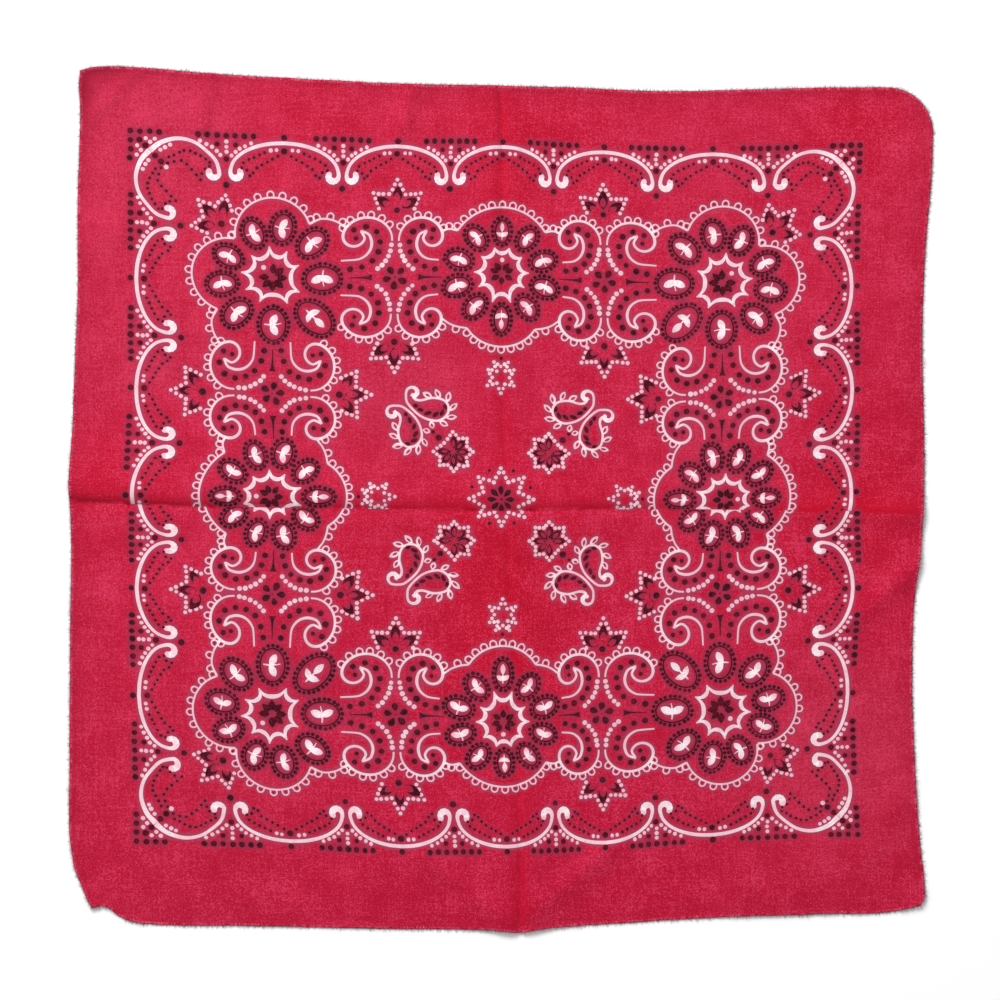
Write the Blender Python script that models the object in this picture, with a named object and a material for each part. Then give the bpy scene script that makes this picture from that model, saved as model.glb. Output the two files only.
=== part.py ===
"""A square cotton bandana, opened out on a table after being kept folded in quarters.

It is one square of cloth whose four raw edges are each turned in and sewn as a
narrow hem. Tables are in millimetres as seen from above: X runs to the right,
Y away from the viewer, and the origin is on the table under the cloth's middle.
"""
import math
from collections import namedtuple

import bmesh
import bpy
from mathutils import Vector
from mathutils.geometry import delaunay_2d_cdt

MM = 0.001

# Driving sizes, mm
CLOTH_THICKNESS = 1.0
HEM_WIDTH = 3.6
HEM_THICKNESS = 1.7
SEAM_GAP = 0.3
CORNER_GAP = 0.2  # how far each hem stops short of a corner
ROUND_CORNER_RADIUS = 24.0
ROUND_CORNER_CENTRE = (257.0, 244.0)

# The outline as the cloth lies, clockwise from the far left corner. Each edge
# ends where the next one starts, and the far right corner is an arc between two.
TOP_EDGE = (
    (-273.5, 278.5), (-267.0, 280.5), (-258.5, 281.5), (-228.0, 280.5), (-193.5, 277.5),
    (-137.0, 274.0), (-79.5, 271.0), (-0.5, 269.0), (43.5, 268.0), (103.5, 265.5),
    (175.0, 267.0), (230.0, 268.0),
)
RIGHT_EDGE = (
    (280.0, 209.0), (276.5, 169.0), (274.5, 130.0), (274.5, -8.5), (273.0, -32.0),
    (269.0, -65.0), (267.5, -123.5), (268.5, -156.0), (272.5, -222.5), (275.5, -252.0),
    (275.5, -259.0), (272.5, -264.5),
)
BOTTOM_EDGE = (
    (272.5, -264.5), (259.5, -267.5), (207.5, -270.0), (155.5, -271.5), (90.5, -275.0),
    (25.5, -280.0), (11.0, -282.0), (-0.5, -281.0), (-72.0, -279.5), (-169.5, -277.5),
    (-227.0, -276.5), (-238.0, -275.5), (-246.5, -272.5), (-258.0, -265.0), (-262.0, -265.2),
    (-266.0, -266.0),
)
LEFT_EDGE = (
    (-266.0, -266.0), (-268.5, -262.0), (-273.0, -251.5), (-277.0, -242.0), (-279.5, -229.0),
    (-280.8, -169.0), (-280.5, -90.0), (-280.5, -5.5), (-281.0, 2.0), (-279.0, 45.5),
    (-277.0, 97.5), (-275.5, 136.5), (-275.5, 195.0), (-274.0, 256.0), (-274.5, 271.5),
    (-273.5, 278.5),
)

# The two storage creases. Along each one the cloth dips to the table between two
# lifted sides, and where it was folded the other way it stands up as a ridge.
Crease = namedtuple("Crease", "along across lift_after lift_before ridge")
LEVEL_CREASE = (  # along is x, across is y, and "after" is its far side
    Crease(-281.0, -1.0, 3.4, 0.9, 0.0),
    Crease(-202.0, -4.5, 2.8, 0.8, 0.0),
    Crease(-130.0, -5.5, 2.1, 0.7, 0.0),
    Crease(0.0, -7.5, 1.8, 0.9, 0.0),
    Crease(65.0, -6.5, 2.0, 0.9, 0.0),
    Crease(130.0, -6.5, 1.2, 0.5, 0.1),
    Crease(175.0, -7.0, 0.3, 0.1, 0.5),
    Crease(227.0, -7.5, 0.0, 0.0, 1.7),
    Crease(281.0, -8.5, 0.0, 0.0, 1.9),
)
UPRIGHT_CREASE = (  # along is y, across is x, and "after" is its right side
    Crease(-282.0, 11.0, 1.5, 1.2, 0.0),
    Crease(-228.0, 11.5, 1.2, 1.0, 0.0),
    Crease(-104.0, 8.5, 0.5, 0.6, 0.0),
    Crease(-7.0, 3.0, 0.5, 0.7, 0.0),
    Crease(104.0, 0.0, 0.4, 0.5, 0.0),
    Crease(234.0, 0.5, 1.0, 1.4, 0.0),
    Crease(282.0, -1.5, 1.4, 1.6, 0.0),
)
CREASE_REACH = 9.0  # from a crease to the top of its lifted side

# Soft ridges where the cloth was crushed, each between two ends
Fold = namedtuple("Fold", "x0 y0 x1 y1 height width")
SOFT_FOLDS = (
    Fold(-52.0, -228.0, 2.0, -276.0, 1.4, 9.0),
    Fold(24.0, -266.0, 74.0, -226.0, 1.3, 9.0),
    Fold(-58.0, 266.0, -68.0, 232.0, 1.2, 10.0),
    Fold(232.0, -76.0, 276.0, -38.0, 1.6, 10.0),
    Fold(-282.0, 162.0, -236.0, 178.0, 1.1, 12.0),
    Fold(-130.0, 214.0, -190.0, 110.0, 0.9, 10.0),
    Fold(-102.0, 66.0, -20.0, 36.0, 0.8, 11.0),
    Fold(232.0, -236.0, 264.0, -194.0, 1.0, 10.0),
)

# Corners that curl up off the table
Curl = namedtuple("Curl", "x y height width")
CORNER_CURLS = (
    Curl(-276.0, 281.0, 3.4, 17.0),
    Curl(-268.0, -267.0, 1.6, 14.0),
    Curl(275.0, -266.0, 1.8, 15.0),
)

# Long low waves; only their crests rise above the table
Wave = namedtuple("Wave", "run_x run_y phase height")
LOW_WAVES = (Wave(240.0, 410.0, 0.6, 0.9), Wave(-290.0, 170.0, 2.1, 0.7))
WAVE_SUNK = 0.5
RELIEF_LEAST = 0.12  # a lift below this lies flat on the table

# How finely the cloth is divided, mm
GRID_STEP = 16.0
GRID_NEAR_CREASE = (0.0, 4.5, 9.0, 15.0, 24.0)
GRID_HALF_SIDE = 300.0
GRID_MARGIN = 5.5  # between the grid and the panel's edge
FINE_STEP = 4.5  # along a hem, near a crease or a corner
COARSE_STEP = 15.0
NEAR = 22.0
TRACE_STEP = 1.0

# A hem's cross-section: inset from the outline, and height above its underside
HEM_SECTION = (
    (HEM_WIDTH, 0.0), (0.6, 0.0), (0.0, 0.5 * HEM_THICKNESS), (0.6, 0.92 * HEM_THICKNESS),
    (1.6, HEM_THICKNESS), (HEM_WIDTH - 0.9, 0.97 * HEM_THICKNESS),
    (HEM_WIDTH, 0.72 * HEM_THICKNESS),
)

CLOTH_RED = (0.575, 0.022, 0.064, 1.0)
HEM_RED = (0.5, 0.018, 0.052, 1.0)


def clear_scene():
    for obj in list(bpy.data.objects):
        bpy.data.objects.remove(obj, do_unlink=True)


def cloth_material(name, colour):
    material = bpy.data.materials.new(name)
    material.use_nodes = True
    shader = material.node_tree.nodes["Principled BSDF"]
    shader.inputs["Base Color"].default_value = colour
    shader.inputs["Roughness"].default_value = 0.85
    shader.inputs["Metallic"].default_value = 0.0
    return material


# ---- outline ----

def tangents(points):
    """The slope of a smooth curve at each of its points, by unit of length."""
    chords = [b - a for a, b in zip(points, points[1:])]
    slopes = [chord / chord.length for chord in chords]
    inner = [
        (slopes[i - 1] * chords[i].length + slopes[i] * chords[i - 1].length)
        / (chords[i - 1].length + chords[i].length)
        for i in range(1, len(chords))
    ]
    return [slopes[0], *inner, slopes[-1]]


def smooth_curve(rows):
    """Points every TRACE_STEP or so along the smooth curve through the rows."""
    points = [Vector(row) for row in rows]
    slopes = tangents(points)
    curve = [points[0]]
    for i, (a, b) in enumerate(zip(points, points[1:])):
        chord = (b - a).length
        steps = max(1, round(chord / TRACE_STEP))
        for k in range(1, steps + 1):
            t = k / steps
            curve.append(
                a * (2 * t**3 - 3 * t**2 + 1)
                + slopes[i] * chord * (t**3 - 2 * t**2 + t)
                + b * (3 * t**2 - 2 * t**3)
                + slopes[i + 1] * chord * (t**3 - t**2)
            )
    return curve


def corner_arc(first_degrees, last_degrees):
    """A stretch of the round corner, clockwise."""
    centre = Vector(ROUND_CORNER_CENTRE)
    sweep = math.radians(first_degrees - last_degrees)
    steps = round(sweep * ROUND_CORNER_RADIUS / TRACE_STEP)
    angles = (math.radians(first_degrees) - sweep * k / steps for k in range(steps + 1))
    return [
        centre + ROUND_CORNER_RADIUS * Vector((math.cos(angle), math.sin(angle)))
        for angle in angles
    ]


def traced_edges():
    """The four edges, clockwise, each a list of close points from corner to corner."""
    top = smooth_curve((*TOP_EDGE, tuple(corner_arc(90, 45)[0]))) + corner_arc(90, 45)[1:]
    right = corner_arc(45, 0)[:-1] + smooth_curve((tuple(corner_arc(45, 0)[-1]), *RIGHT_EDGE))
    return {
        "top": top,
        "right": right,
        "bottom": smooth_curve(BOTTOM_EDGE),
        "left": smooth_curve(LEFT_EDGE),
    }


def centre_of(edges):
    points = [point for edge in edges.values() for point in edge]
    spans = [(min(p[i] for p in points), max(p[i] for p in points)) for i in (0, 1)]
    return Vector([sum(span) / 2 for span in spans])


def wants_detail(point, ends):
    near_crease = (
        abs(point.y - crease_at(LEVEL_CREASE, point.x).across) < NEAR
        or abs(point.x - crease_at(UPRIGHT_CREASE, point.y).across) < NEAR
    )
    return near_crease or any((point - end).length < NEAR for end in ends)


def stations(edge):
    """Points picked along a traced edge, closer together where it needs detail."""
    ends = (edge[0], edge[-1])
    picked = [edge[0]]
    for point in edge[1:-1]:
        step = FINE_STEP if wants_detail(point, ends) else COARSE_STEP
        if (point - picked[-1]).length >= step and (point - edge[-1]).length >= step:
            picked.append(point)
    return [*picked, edge[-1]]


def outward(a, b):
    """The unit normal of a clockwise step from a to b."""
    step = (b - a).normalized()
    return Vector((-step.y, step.x))


def mitre(before, after):
    """The direction in which an offset corner moves, for one unit of offset."""
    return (before + after) / (1 + before.dot(after))


def offset_directions(edge, normal_before, normal_after):
    """One direction for each station; the ends are mitred with the next edges."""
    normals = [normal_before, *(outward(a, b) for a, b in zip(edge, edge[1:])), normal_after]
    return [mitre(a, b) for a, b in zip(normals, normals[1:])]


def hem_lines():
    """For each edge, its stations and their offset directions."""
    edges = {name: stations(edge) for name, edge in traced_edges().items()}
    names = list(edges)
    lines = {}
    for i, name in enumerate(names):
        previous = edges[names[i - 1]]
        following = edges[names[(i + 1) % len(names)]]
        lines[name] = (
            edges[name],
            offset_directions(
                edges[name], outward(*previous[-2:]), outward(*following[:2])
            ),
        )
    return lines


# ---- relief ----

def crease_at(rows, along):
    """The crease's values at a place along it, straight between its rows."""
    along = min(max(along, rows[0].along), rows[-1].along)
    for low, high in zip(rows, rows[1:]):
        if along <= high.along:
            share = (along - low.along) / (high.along - low.along)
            return Crease(*(a + share * (b - a) for a, b in zip(low, high)))
    return rows[-1]


def crease_lift(rows, along, across):
    crease = crease_at(rows, along)
    offset = across - crease.across
    reach = abs(offset) / CREASE_REACH
    lift = crease.lift_after if offset > 0 else crease.lift_before
    return lift * reach * math.exp(1 - reach) + crease.ridge * math.exp(-(reach**2))


def fold_lift(fold, x, y):
    start = Vector((fold.x0, fold.y0))
    run = Vector((fold.x1, fold.y1)) - start
    share = (Vector((x, y)) - start).dot(run) / run.length_squared
    nearest = start + run * min(max(share, 0.0), 1.0)
    distance = (Vector((x, y)) - nearest).length / fold.width
    return fold.height * math.exp(-(distance**2))


def curl_lift(curl, x, y):
    distance = math.hypot(x - curl.x, y - curl.y) / curl.width
    return curl.height * math.exp(-(distance**2))


def wave_lift(x, y):
    total = sum(
        wave.height * math.sin(math.tau * (x / wave.run_x + y / wave.run_y) + wave.phase)
        for wave in LOW_WAVES
    )
    return max(0.0, total - WAVE_SUNK)


def relief(x, y):
    """How high the cloth's underside stands above the table."""
    lift = (
        crease_lift(LEVEL_CREASE, x, y)
        + crease_lift(UPRIGHT_CREASE, y, x)
        + sum(fold_lift(fold, x, y) for fold in SOFT_FOLDS)
        + sum(curl_lift(curl, x, y) for curl in CORNER_CURLS)
        + wave_lift(x, y)
    )
    return max(0.0, lift - RELIEF_LEAST)


# ---- panel ----

def grid_offsets():
    """Offsets of the grid's lines from a crease, close beside it and then even."""
    last = GRID_NEAR_CREASE[-1]
    count = int((GRID_HALF_SIDE - last) / GRID_STEP)
    one_side = [*GRID_NEAR_CREASE[1:], *(last + GRID_STEP * k for k in range(1, count + 1))]
    return [*(-offset for offset in reversed(one_side)), 0.0, *one_side]


def grid_point(column, row):
    """Where a grid line beside each crease crosses the other."""
    x, y = column, row
    for _ in range(3):
        x = crease_at(UPRIGHT_CREASE, y).across + column
        y = crease_at(LEVEL_CREASE, x).across + row
    return Vector((x, y))


def clearance(point, ring):
    """The distance from a point to a clockwise ring, negative outside it."""
    nearest = math.inf
    inside = False
    for a, b in zip(ring, ring[1:] + ring[:1]):
        run = b - a
        share = min(max((point - a).dot(run) / run.length_squared, 0.0), 1.0)
        nearest = min(nearest, (point - a - run * share).length)
        if (a.y > point.y) != (b.y > point.y):
            inside ^= point.x < a.x + run.x * (point.y - a.y) / run.y
    return nearest if inside else -nearest


def panel_ring(lines):
    """The panel's edge, just inside the hems."""
    inset = HEM_WIDTH + SEAM_GAP
    return [
        point - direction * inset
        for edge, directions in lines.values()
        for point, direction in zip(edge[:-1], directions[:-1])
    ]


def panel_mesh(lines):
    """A wall of even thickness over the relief, closed along its edge."""
    ring = panel_ring(lines)
    crossings = [grid_point(a, b) for a in grid_offsets() for b in grid_offsets()]
    inner = [point for point in crossings if clearance(point, ring) > GRID_MARGIN]
    ring_anticlockwise = list(reversed(range(len(ring))))
    flat, _, triangles, sources, *_ = delaunay_2d_cdt(
        ring + inner, [], [ring_anticlockwise], 1, 1e-4
    )
    mesh = bmesh.new()
    under = [mesh.verts.new((p.x, p.y, relief(p.x, p.y))) for p in flat]
    over = [mesh.verts.new(v.co + Vector((0, 0, CLOTH_THICKNESS))) for v in under]
    for triangle in triangles:
        mesh.faces.new([over[i] for i in triangle])
        mesh.faces.new([under[i] for i in reversed(triangle)])
    place = {source: i for i, found in enumerate(sources) for source in found}
    around = [place[i] for i in range(len(ring))]
    for a, b in zip(around, around[1:] + around[:1]):
        mesh.faces.new((under[a], over[a], over[b], under[b]))
    return mesh


# ---- hems ----

def hem_ring(mesh, point, direction, slide):
    """The hem's cross-section at a station, standing on the relief."""
    ring = []
    for inset, height in HEM_SECTION:
        place = point - direction * inset
        height_here = relief(place.x, place.y) + height
        ring.append(mesh.verts.new((place.x + slide.x, place.y + slide.y, height_here)))
    return ring


def hem_mesh(edge, directions):
    """The cross-section carried along one edge, closed at both corners."""
    mesh = bmesh.new()
    none = Vector((0, 0))
    slides = [none] * len(edge)
    slides[0] = (edge[1] - edge[0]).normalized() * CORNER_GAP
    slides[-1] = (edge[-2] - edge[-1]).normalized() * CORNER_GAP
    rings = [hem_ring(mesh, *place) for place in zip(edge, directions, slides)]
    for a, b in zip(rings, rings[1:]):
        for i in range(len(a)):
            k = (i + 1) % len(a)
            mesh.faces.new((a[i], a[k], b[k], b[i]))
    mesh.faces.new(reversed(rings[0]))
    mesh.faces.new(rings[-1])
    return mesh


# ---- objects ----

def add_node(name, mesh, centre, material, parent):
    """Turns a mesh in millimetres about the cloth's own centre into a node in metres."""
    bmesh.ops.translate(mesh, verts=mesh.verts, vec=(-centre.x, -centre.y, 0))
    bmesh.ops.scale(mesh, verts=mesh.verts, vec=(MM, MM, MM))
    bmesh.ops.recalc_face_normals(mesh, faces=mesh.faces)
    data = bpy.data.meshes.new(name)
    mesh.to_mesh(data)
    mesh.free()
    data.shade_smooth()
    data.set_sharp_from_angle(angle=math.radians(50))
    data.materials.append(material)
    node = bpy.data.objects.new(name, data)
    node.parent = parent
    bpy.context.scene.collection.objects.link(node)


def build_bandana():
    clear_scene()
    bandana = bpy.data.objects.new("bandana", None)
    bpy.context.scene.collection.objects.link(bandana)
    centre = centre_of(traced_edges())
    lines = hem_lines()
    cloth = cloth_material("cloth", CLOTH_RED)
    hem = cloth_material("hem", HEM_RED)
    add_node("cloth_panel", panel_mesh(lines), centre, cloth, bandana)
    for name, (edge, directions) in lines.items():
        add_node(f"hem_{name}", hem_mesh(edge, directions), centre, hem, bandana)


build_bandana()
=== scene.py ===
"""A square cotton bandana, printed and hemmed, laid flat on a pale floor.

Tables are in millimetres as seen from above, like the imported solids: X to the right,
Y away from the viewer. The print is worked out on a square chart of its own and then
carried onto the cloth.
"""
import math
from collections import namedtuple

import bpy
import numpy as np
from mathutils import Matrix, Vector
from mathutils.geometry import delaunay_2d_cdt
from mathutils.kdtree import KDTree


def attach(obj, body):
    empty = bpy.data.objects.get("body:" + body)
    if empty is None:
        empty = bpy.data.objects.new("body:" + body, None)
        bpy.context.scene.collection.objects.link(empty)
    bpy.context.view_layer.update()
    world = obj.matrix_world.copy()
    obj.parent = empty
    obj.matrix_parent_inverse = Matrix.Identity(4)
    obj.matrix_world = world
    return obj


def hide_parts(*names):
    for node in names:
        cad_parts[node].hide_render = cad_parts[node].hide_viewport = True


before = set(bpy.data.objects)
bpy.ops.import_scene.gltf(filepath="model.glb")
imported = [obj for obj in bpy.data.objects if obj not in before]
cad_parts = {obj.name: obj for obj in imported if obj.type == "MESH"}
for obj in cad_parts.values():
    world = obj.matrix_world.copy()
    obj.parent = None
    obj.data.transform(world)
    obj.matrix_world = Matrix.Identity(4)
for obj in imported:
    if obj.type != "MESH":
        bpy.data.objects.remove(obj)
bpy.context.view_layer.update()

MM = 0.001
SEED = 11

# ---- the cloth's outline and relief: the solids' but for a rounder far right corner ----

ROUND_CORNER_RADIUS = 30.0
ROUND_CORNER_CENTRE = (251.0, 238.0)

# Clockwise from the far left corner. Each edge ends where the next one starts, and
# the far right corner is an arc between two.
TOP_EDGE = (
    (-273.5, 278.5), (-267.0, 280.5), (-258.5, 281.5), (-228.0, 280.5), (-193.5, 277.5),
    (-137.0, 274.0), (-79.5, 271.0), (-0.5, 269.0), (43.5, 268.0), (103.5, 265.5),
    (175.0, 267.0), (230.0, 268.0),
)
RIGHT_EDGE = (
    (280.0, 209.0), (276.5, 169.0), (274.5, 130.0), (274.5, -8.5), (273.0, -32.0),
    (269.0, -65.0), (267.5, -123.5), (268.5, -156.0), (272.5, -222.5), (275.5, -252.0),
    (275.5, -259.0), (272.5, -264.5),
)
BOTTOM_EDGE = (
    (272.5, -264.5), (259.5, -267.5), (207.5, -270.0), (155.5, -271.5), (90.5, -275.0),
    (25.5, -280.0), (11.0, -282.0), (-0.5, -281.0), (-72.0, -279.5), (-169.5, -277.5),
    (-227.0, -276.5), (-238.0, -275.5), (-246.5, -272.5), (-258.0, -265.0), (-262.0, -265.2),
    (-266.0, -266.0),
)
LEFT_EDGE = (
    (-266.0, -266.0), (-268.5, -262.0), (-273.0, -251.5), (-277.0, -242.0), (-279.5, -229.0),
    (-280.8, -169.0), (-280.5, -90.0), (-280.5, -5.5), (-281.0, 2.0), (-279.0, 45.5),
    (-277.0, 97.5), (-275.5, 136.5), (-275.5, 195.0), (-274.0, 256.0), (-274.5, 271.5),
    (-273.5, 278.5),
)

# The two storage creases. Along each one the cloth dips to the table between two
# lifted sides, and where it was folded the other way it stands up as a ridge.
Crease = namedtuple("Crease", "along across lift_after lift_before ridge")
LEVEL_CREASE = (  # along is x, across is y, and "after" is its far side
    Crease(-281.0, -1.0, 3.4, 0.9, 0.0),
    Crease(-202.0, -4.5, 2.8, 0.8, 0.0),
    Crease(-130.0, -5.5, 2.1, 0.7, 0.0),
    Crease(0.0, -7.5, 1.8, 0.9, 0.0),
    Crease(65.0, -6.5, 2.0, 0.9, 0.0),
    Crease(130.0, -6.5, 1.2, 0.5, 0.1),
    Crease(175.0, -7.0, 0.3, 0.1, 0.5),
    Crease(227.0, -7.5, 0.0, 0.0, 1.7),
    Crease(281.0, -8.5, 0.0, 0.0, 1.9),
)
UPRIGHT_CREASE = (  # along is y, across is x, and "after" is its right side
    Crease(-282.0, 12.0, 1.5, 1.2, 0.0),
    Crease(-228.0, 12.5, 1.2, 1.0, 0.0),
    Crease(-104.0, 8.5, 0.5, 0.6, 0.0),
    Crease(-7.0, 3.0, 0.5, 0.7, 0.0),
    Crease(104.0, 0.0, 0.4, 0.5, 0.0),
    Crease(234.0, 0.5, 1.0, 1.4, 0.0),
    Crease(282.0, -1.5, 1.4, 1.6, 0.0),
)
CREASE_REACH = 9.0  # from a crease to the top of its lifted side

# Soft ridges where the cloth was crushed, each between two ends
Fold = namedtuple("Fold", "x0 y0 x1 y1 height width")
SOFT_FOLDS = (
    Fold(-52.0, -228.0, 2.0, -276.0, 1.4, 9.0),
    Fold(24.0, -266.0, 74.0, -226.0, 1.3, 9.0),
    Fold(-58.0, 266.0, -68.0, 232.0, 1.2, 10.0),
    Fold(232.0, -76.0, 276.0, -38.0, 1.6, 10.0),
    Fold(-282.0, 162.0, -236.0, 178.0, 1.1, 12.0),
    Fold(-130.0, 214.0, -190.0, 110.0, 0.9, 10.0),
    Fold(-102.0, 66.0, -20.0, 36.0, 0.8, 11.0),
    Fold(232.0, -236.0, 264.0, -194.0, 1.0, 10.0),
)

# Corners that curl up off the table
Curl = namedtuple("Curl", "x y height width")
CORNER_CURLS = (
    Curl(-276.0, 281.0, 3.4, 17.0),
    Curl(-268.0, -267.0, 1.6, 14.0),
    Curl(275.0, -266.0, 1.8, 15.0),
)

# Long low waves; only their crests rise above the table
Wave = namedtuple("Wave", "run_x run_y phase height")
LOW_WAVES = (Wave(240.0, 410.0, 0.6, 0.9), Wave(-290.0, 170.0, 2.1, 0.7))
WAVE_SUNK = 0.5
RELIEF_LEAST = 0.12  # a lift below this lies flat on the table

# Where the cloth is more worn and faded than the rest (above 0), or less so (below 0)
WornPatch = namedtuple("WornPatch", "x y reach amount")
WORN_PATCHES = (
    WornPatch(16.0, 227.0, 50.0, -0.9), WornPatch(230.0, 245.0, 42.0, -0.8),
    WornPatch(-125.0, 245.0, 55.0, -0.5), WornPatch(0.0, -40.0, 62.0, -1.0),
    WornPatch(2.0, -128.0, 48.0, -0.8), WornPatch(-258.0, 12.0, 40.0, -0.6),
    WornPatch(228.0, -8.0, 58.0, -0.9), WornPatch(-110.0, -30.0, 30.0, -0.6),
    WornPatch(-218.0, 232.0, 50.0, 0.9), WornPatch(-226.0, 95.0, 34.0, 0.7),
    WornPatch(146.0, 125.0, 46.0, 0.7), WornPatch(146.0, 38.0, 40.0, 1.0),
    WornPatch(212.0, -160.0, 62.0, 1.0), WornPatch(-62.0, 66.0, 36.0, 0.8),
    WornPatch(-160.0, -155.0, 42.0, 0.6),
)

# Small sharper wrinkles, too fine for the solids
FINE_FOLDS = (
    Fold(-188.0, 279.0, -194.0, 242.0, 1.1, 4.0),
    Fold(38.0, 20.0, 97.0, 65.0, 0.5, 6.0),
    Fold(-60.0, 262.0, -66.0, 236.0, 0.9, 4.0),
    Fold(-50.0, -232.0, -2.0, -272.0, 0.6, 4.5),
    Fold(26.0, -262.0, 72.0, -228.0, 0.6, 4.5),
    Fold(234.0, -74.0, 274.0, -40.0, 0.6, 4.5),
    Fold(-266.0, 248.0, -238.0, 276.0, 0.9, 4.5),
    Fold(-279.0, 36.0, -240.0, 24.0, 0.5, 7.0),
)

SHARP_CREASE_LIFT = 0.45  # of the upright crease's own narrow fold
SHARP_CREASE_REACH = 4.5

CLOTH_THICKNESS = 0.5
CLOTH_INSET = 2.2  # the cloth's own edge, hidden inside the hems


# ---- outline ----

def sizes(rows):
    """Each row's length, as a column."""
    return np.hypot(*rows.T)[:, None]


def reach_along(points):
    """How far along a line each of its points lies."""
    return np.concatenate(([0], np.cumsum(sizes(np.diff(points[:, :2], axis=0)))))


def read_along(points, reach, at):
    return np.column_stack([np.interp(at, reach, column) for column in points.T])


def slopes_of(points):
    """The slope of a smooth curve at each of its points, by unit of length."""
    chords = np.diff(points, axis=0)
    lengths = sizes(chords)
    units = chords / lengths
    inner = (units[:-1] * lengths[1:] + units[1:] * lengths[:-1]) / (lengths[:-1] + lengths[1:])
    return np.vstack((units[:1], inner, units[-1:])), lengths


def smooth_curve(rows):
    """Close points along the smooth curve through the rows."""
    points = np.array(rows, float)
    slopes, lengths = slopes_of(points)
    runs = [points[:1]]
    for i, chord in enumerate(lengths[:, 0]):
        t = np.linspace(0, 1, max(1, round(chord)) + 1)[1:, None]
        start = points[i] * (2 * t**3 - 3 * t**2 + 1) + slopes[i] * chord * (t**3 - 2 * t**2 + t)
        end = points[i + 1] * (3 * t**2 - 2 * t**3) + slopes[i + 1] * chord * (t**3 - t**2)
        runs.append(start + end)
    return np.vstack(runs)


ARC_POINTS = 19  # on half of the round corner


def corner_arc(first_degrees, last_degrees):
    """A stretch of the round corner, clockwise."""
    angles = np.radians(np.linspace(first_degrees, last_degrees, ARC_POINTS))
    circle = np.column_stack((np.cos(angles), np.sin(angles)))
    return np.array(ROUND_CORNER_CENTRE) + ROUND_CORNER_RADIUS * circle


def laid_edges():
    """The four edges, clockwise, each as close points from corner to corner."""
    far_arc, right_arc = corner_arc(90, 45), corner_arc(45, 0)
    return {
        "top": np.vstack((smooth_curve((*TOP_EDGE, tuple(far_arc[0]))), far_arc[1:])),
        "right": np.vstack((right_arc[:-1], smooth_curve((tuple(right_arc[-1]), *RIGHT_EDGE)))),
        "bottom": smooth_curve(BOTTOM_EDGE),
        "left": smooth_curve(LEFT_EDGE),
    }


def outline_centre(edges):
    points = np.vstack(list(edges.values()))
    return (points.min(axis=0) + points.max(axis=0)) / 2


def outward_from(ring):
    """For each point of a closed clockwise ring, the way that an offset moves it."""
    steps = np.roll(ring, -1, axis=0) - ring
    steps /= sizes(steps)
    after = np.column_stack((-steps[:, 1], steps[:, 0]))
    before = np.roll(after, 1, axis=0)
    return (before + after) / (1 + (before * after).sum(axis=1))[:, None]


# ---- relief ----

def crease_at(rows, along):
    """A crease's place across and its lifts and ridge, at each place along it."""
    columns = np.array(rows).T
    return [np.interp(along, columns[0], column) for column in columns[1:]]


def crease_lift(rows, along, across):
    centre, after, before, ridge = crease_at(rows, along)
    offset = across - centre
    reach = np.abs(offset) / CREASE_REACH
    lift = np.where(offset > 0, after, before)
    return lift * reach * np.exp(1 - reach) + ridge * bell(reach)


def bell(distance):
    return np.exp(-(distance**2))


def fold_lift(fold, x, y):
    run = np.array((fold.x1 - fold.x0, fold.y1 - fold.y0))
    share = ((x - fold.x0) * run[0] + (y - fold.y0) * run[1]) / (run**2).sum()
    share = np.clip(share, 0, 1)
    distance = np.hypot(x - fold.x0 - share * run[0], y - fold.y0 - share * run[1])
    return fold.height * bell(distance / fold.width)


def curl_lift(curl, x, y):
    return curl.height * bell(np.hypot(x - curl.x, y - curl.y) / curl.width)


def wave_lift(x, y):
    total = sum(
        wave.height * np.sin(math.tau * (x / wave.run_x + y / wave.run_y) + wave.phase)
        for wave in LOW_WAVES
    )
    return np.maximum(0.0, total - WAVE_SUNK)


def above_level(x, y):
    """How far beyond the level crease each place is."""
    return y - crease_at(LEVEL_CREASE, x)[0]


def beside_upright(x, y):
    """How far to the right of the upright crease each place is."""
    return x - crease_at(UPRIGHT_CREASE, y)[0]


def sharp_crease_lift(x, y):
    reach = np.abs(beside_upright(x, y)) / SHARP_CREASE_REACH
    return SHARP_CREASE_LIFT * reach * np.exp(1 - reach)


def relief(x, y):
    """How high the cloth's underside stands above the floor."""
    lift = crease_lift(LEVEL_CREASE, x, y) + crease_lift(UPRIGHT_CREASE, y, x)
    lift += sharp_crease_lift(x, y)
    lift += sum(fold_lift(fold, x, y) for fold in SOFT_FOLDS + FINE_FOLDS)
    lift += sum(curl_lift(curl, x, y) for curl in CORNER_CURLS) + wave_lift(x, y)
    return np.maximum(0.0, lift - RELIEF_LEAST)


def relief_normals(x, y):
    """The upward normal of the relief at each place."""
    near = 0.4
    slope_x = (relief(x + near, y) - relief(x - near, y)) / (2 * near)
    slope_y = (relief(x, y + near) - relief(x, y - near)) / (2 * near)
    normals = np.column_stack((-slope_x, -slope_y, np.ones(len(x))))
    return normals / np.sqrt((normals**2).sum(axis=1))[:, None]


# ---- the print's chart: strokes, ovals and dots ----

Mark = namedtuple("Mark", "ink points")

STEP = 0.64  # mm: one step of the print's chart
FRAME = 362.5  # steps from the middle out to the outer line of dots
PAIRS = (-269.5, -156.7, -52.0, 52.0, 156.7, 269.5)  # where two scrolls meet
WHITE, DARK, BARE = "white_ink", "dark_ink", "bare"


def disc(ink, x, y, radius, sides=8):
    angles = np.arange(sides) * 2 * np.pi / sides + 0.3
    return Mark(ink, np.column_stack((x + radius * np.cos(angles), y + radius * np.sin(angles))))


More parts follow.
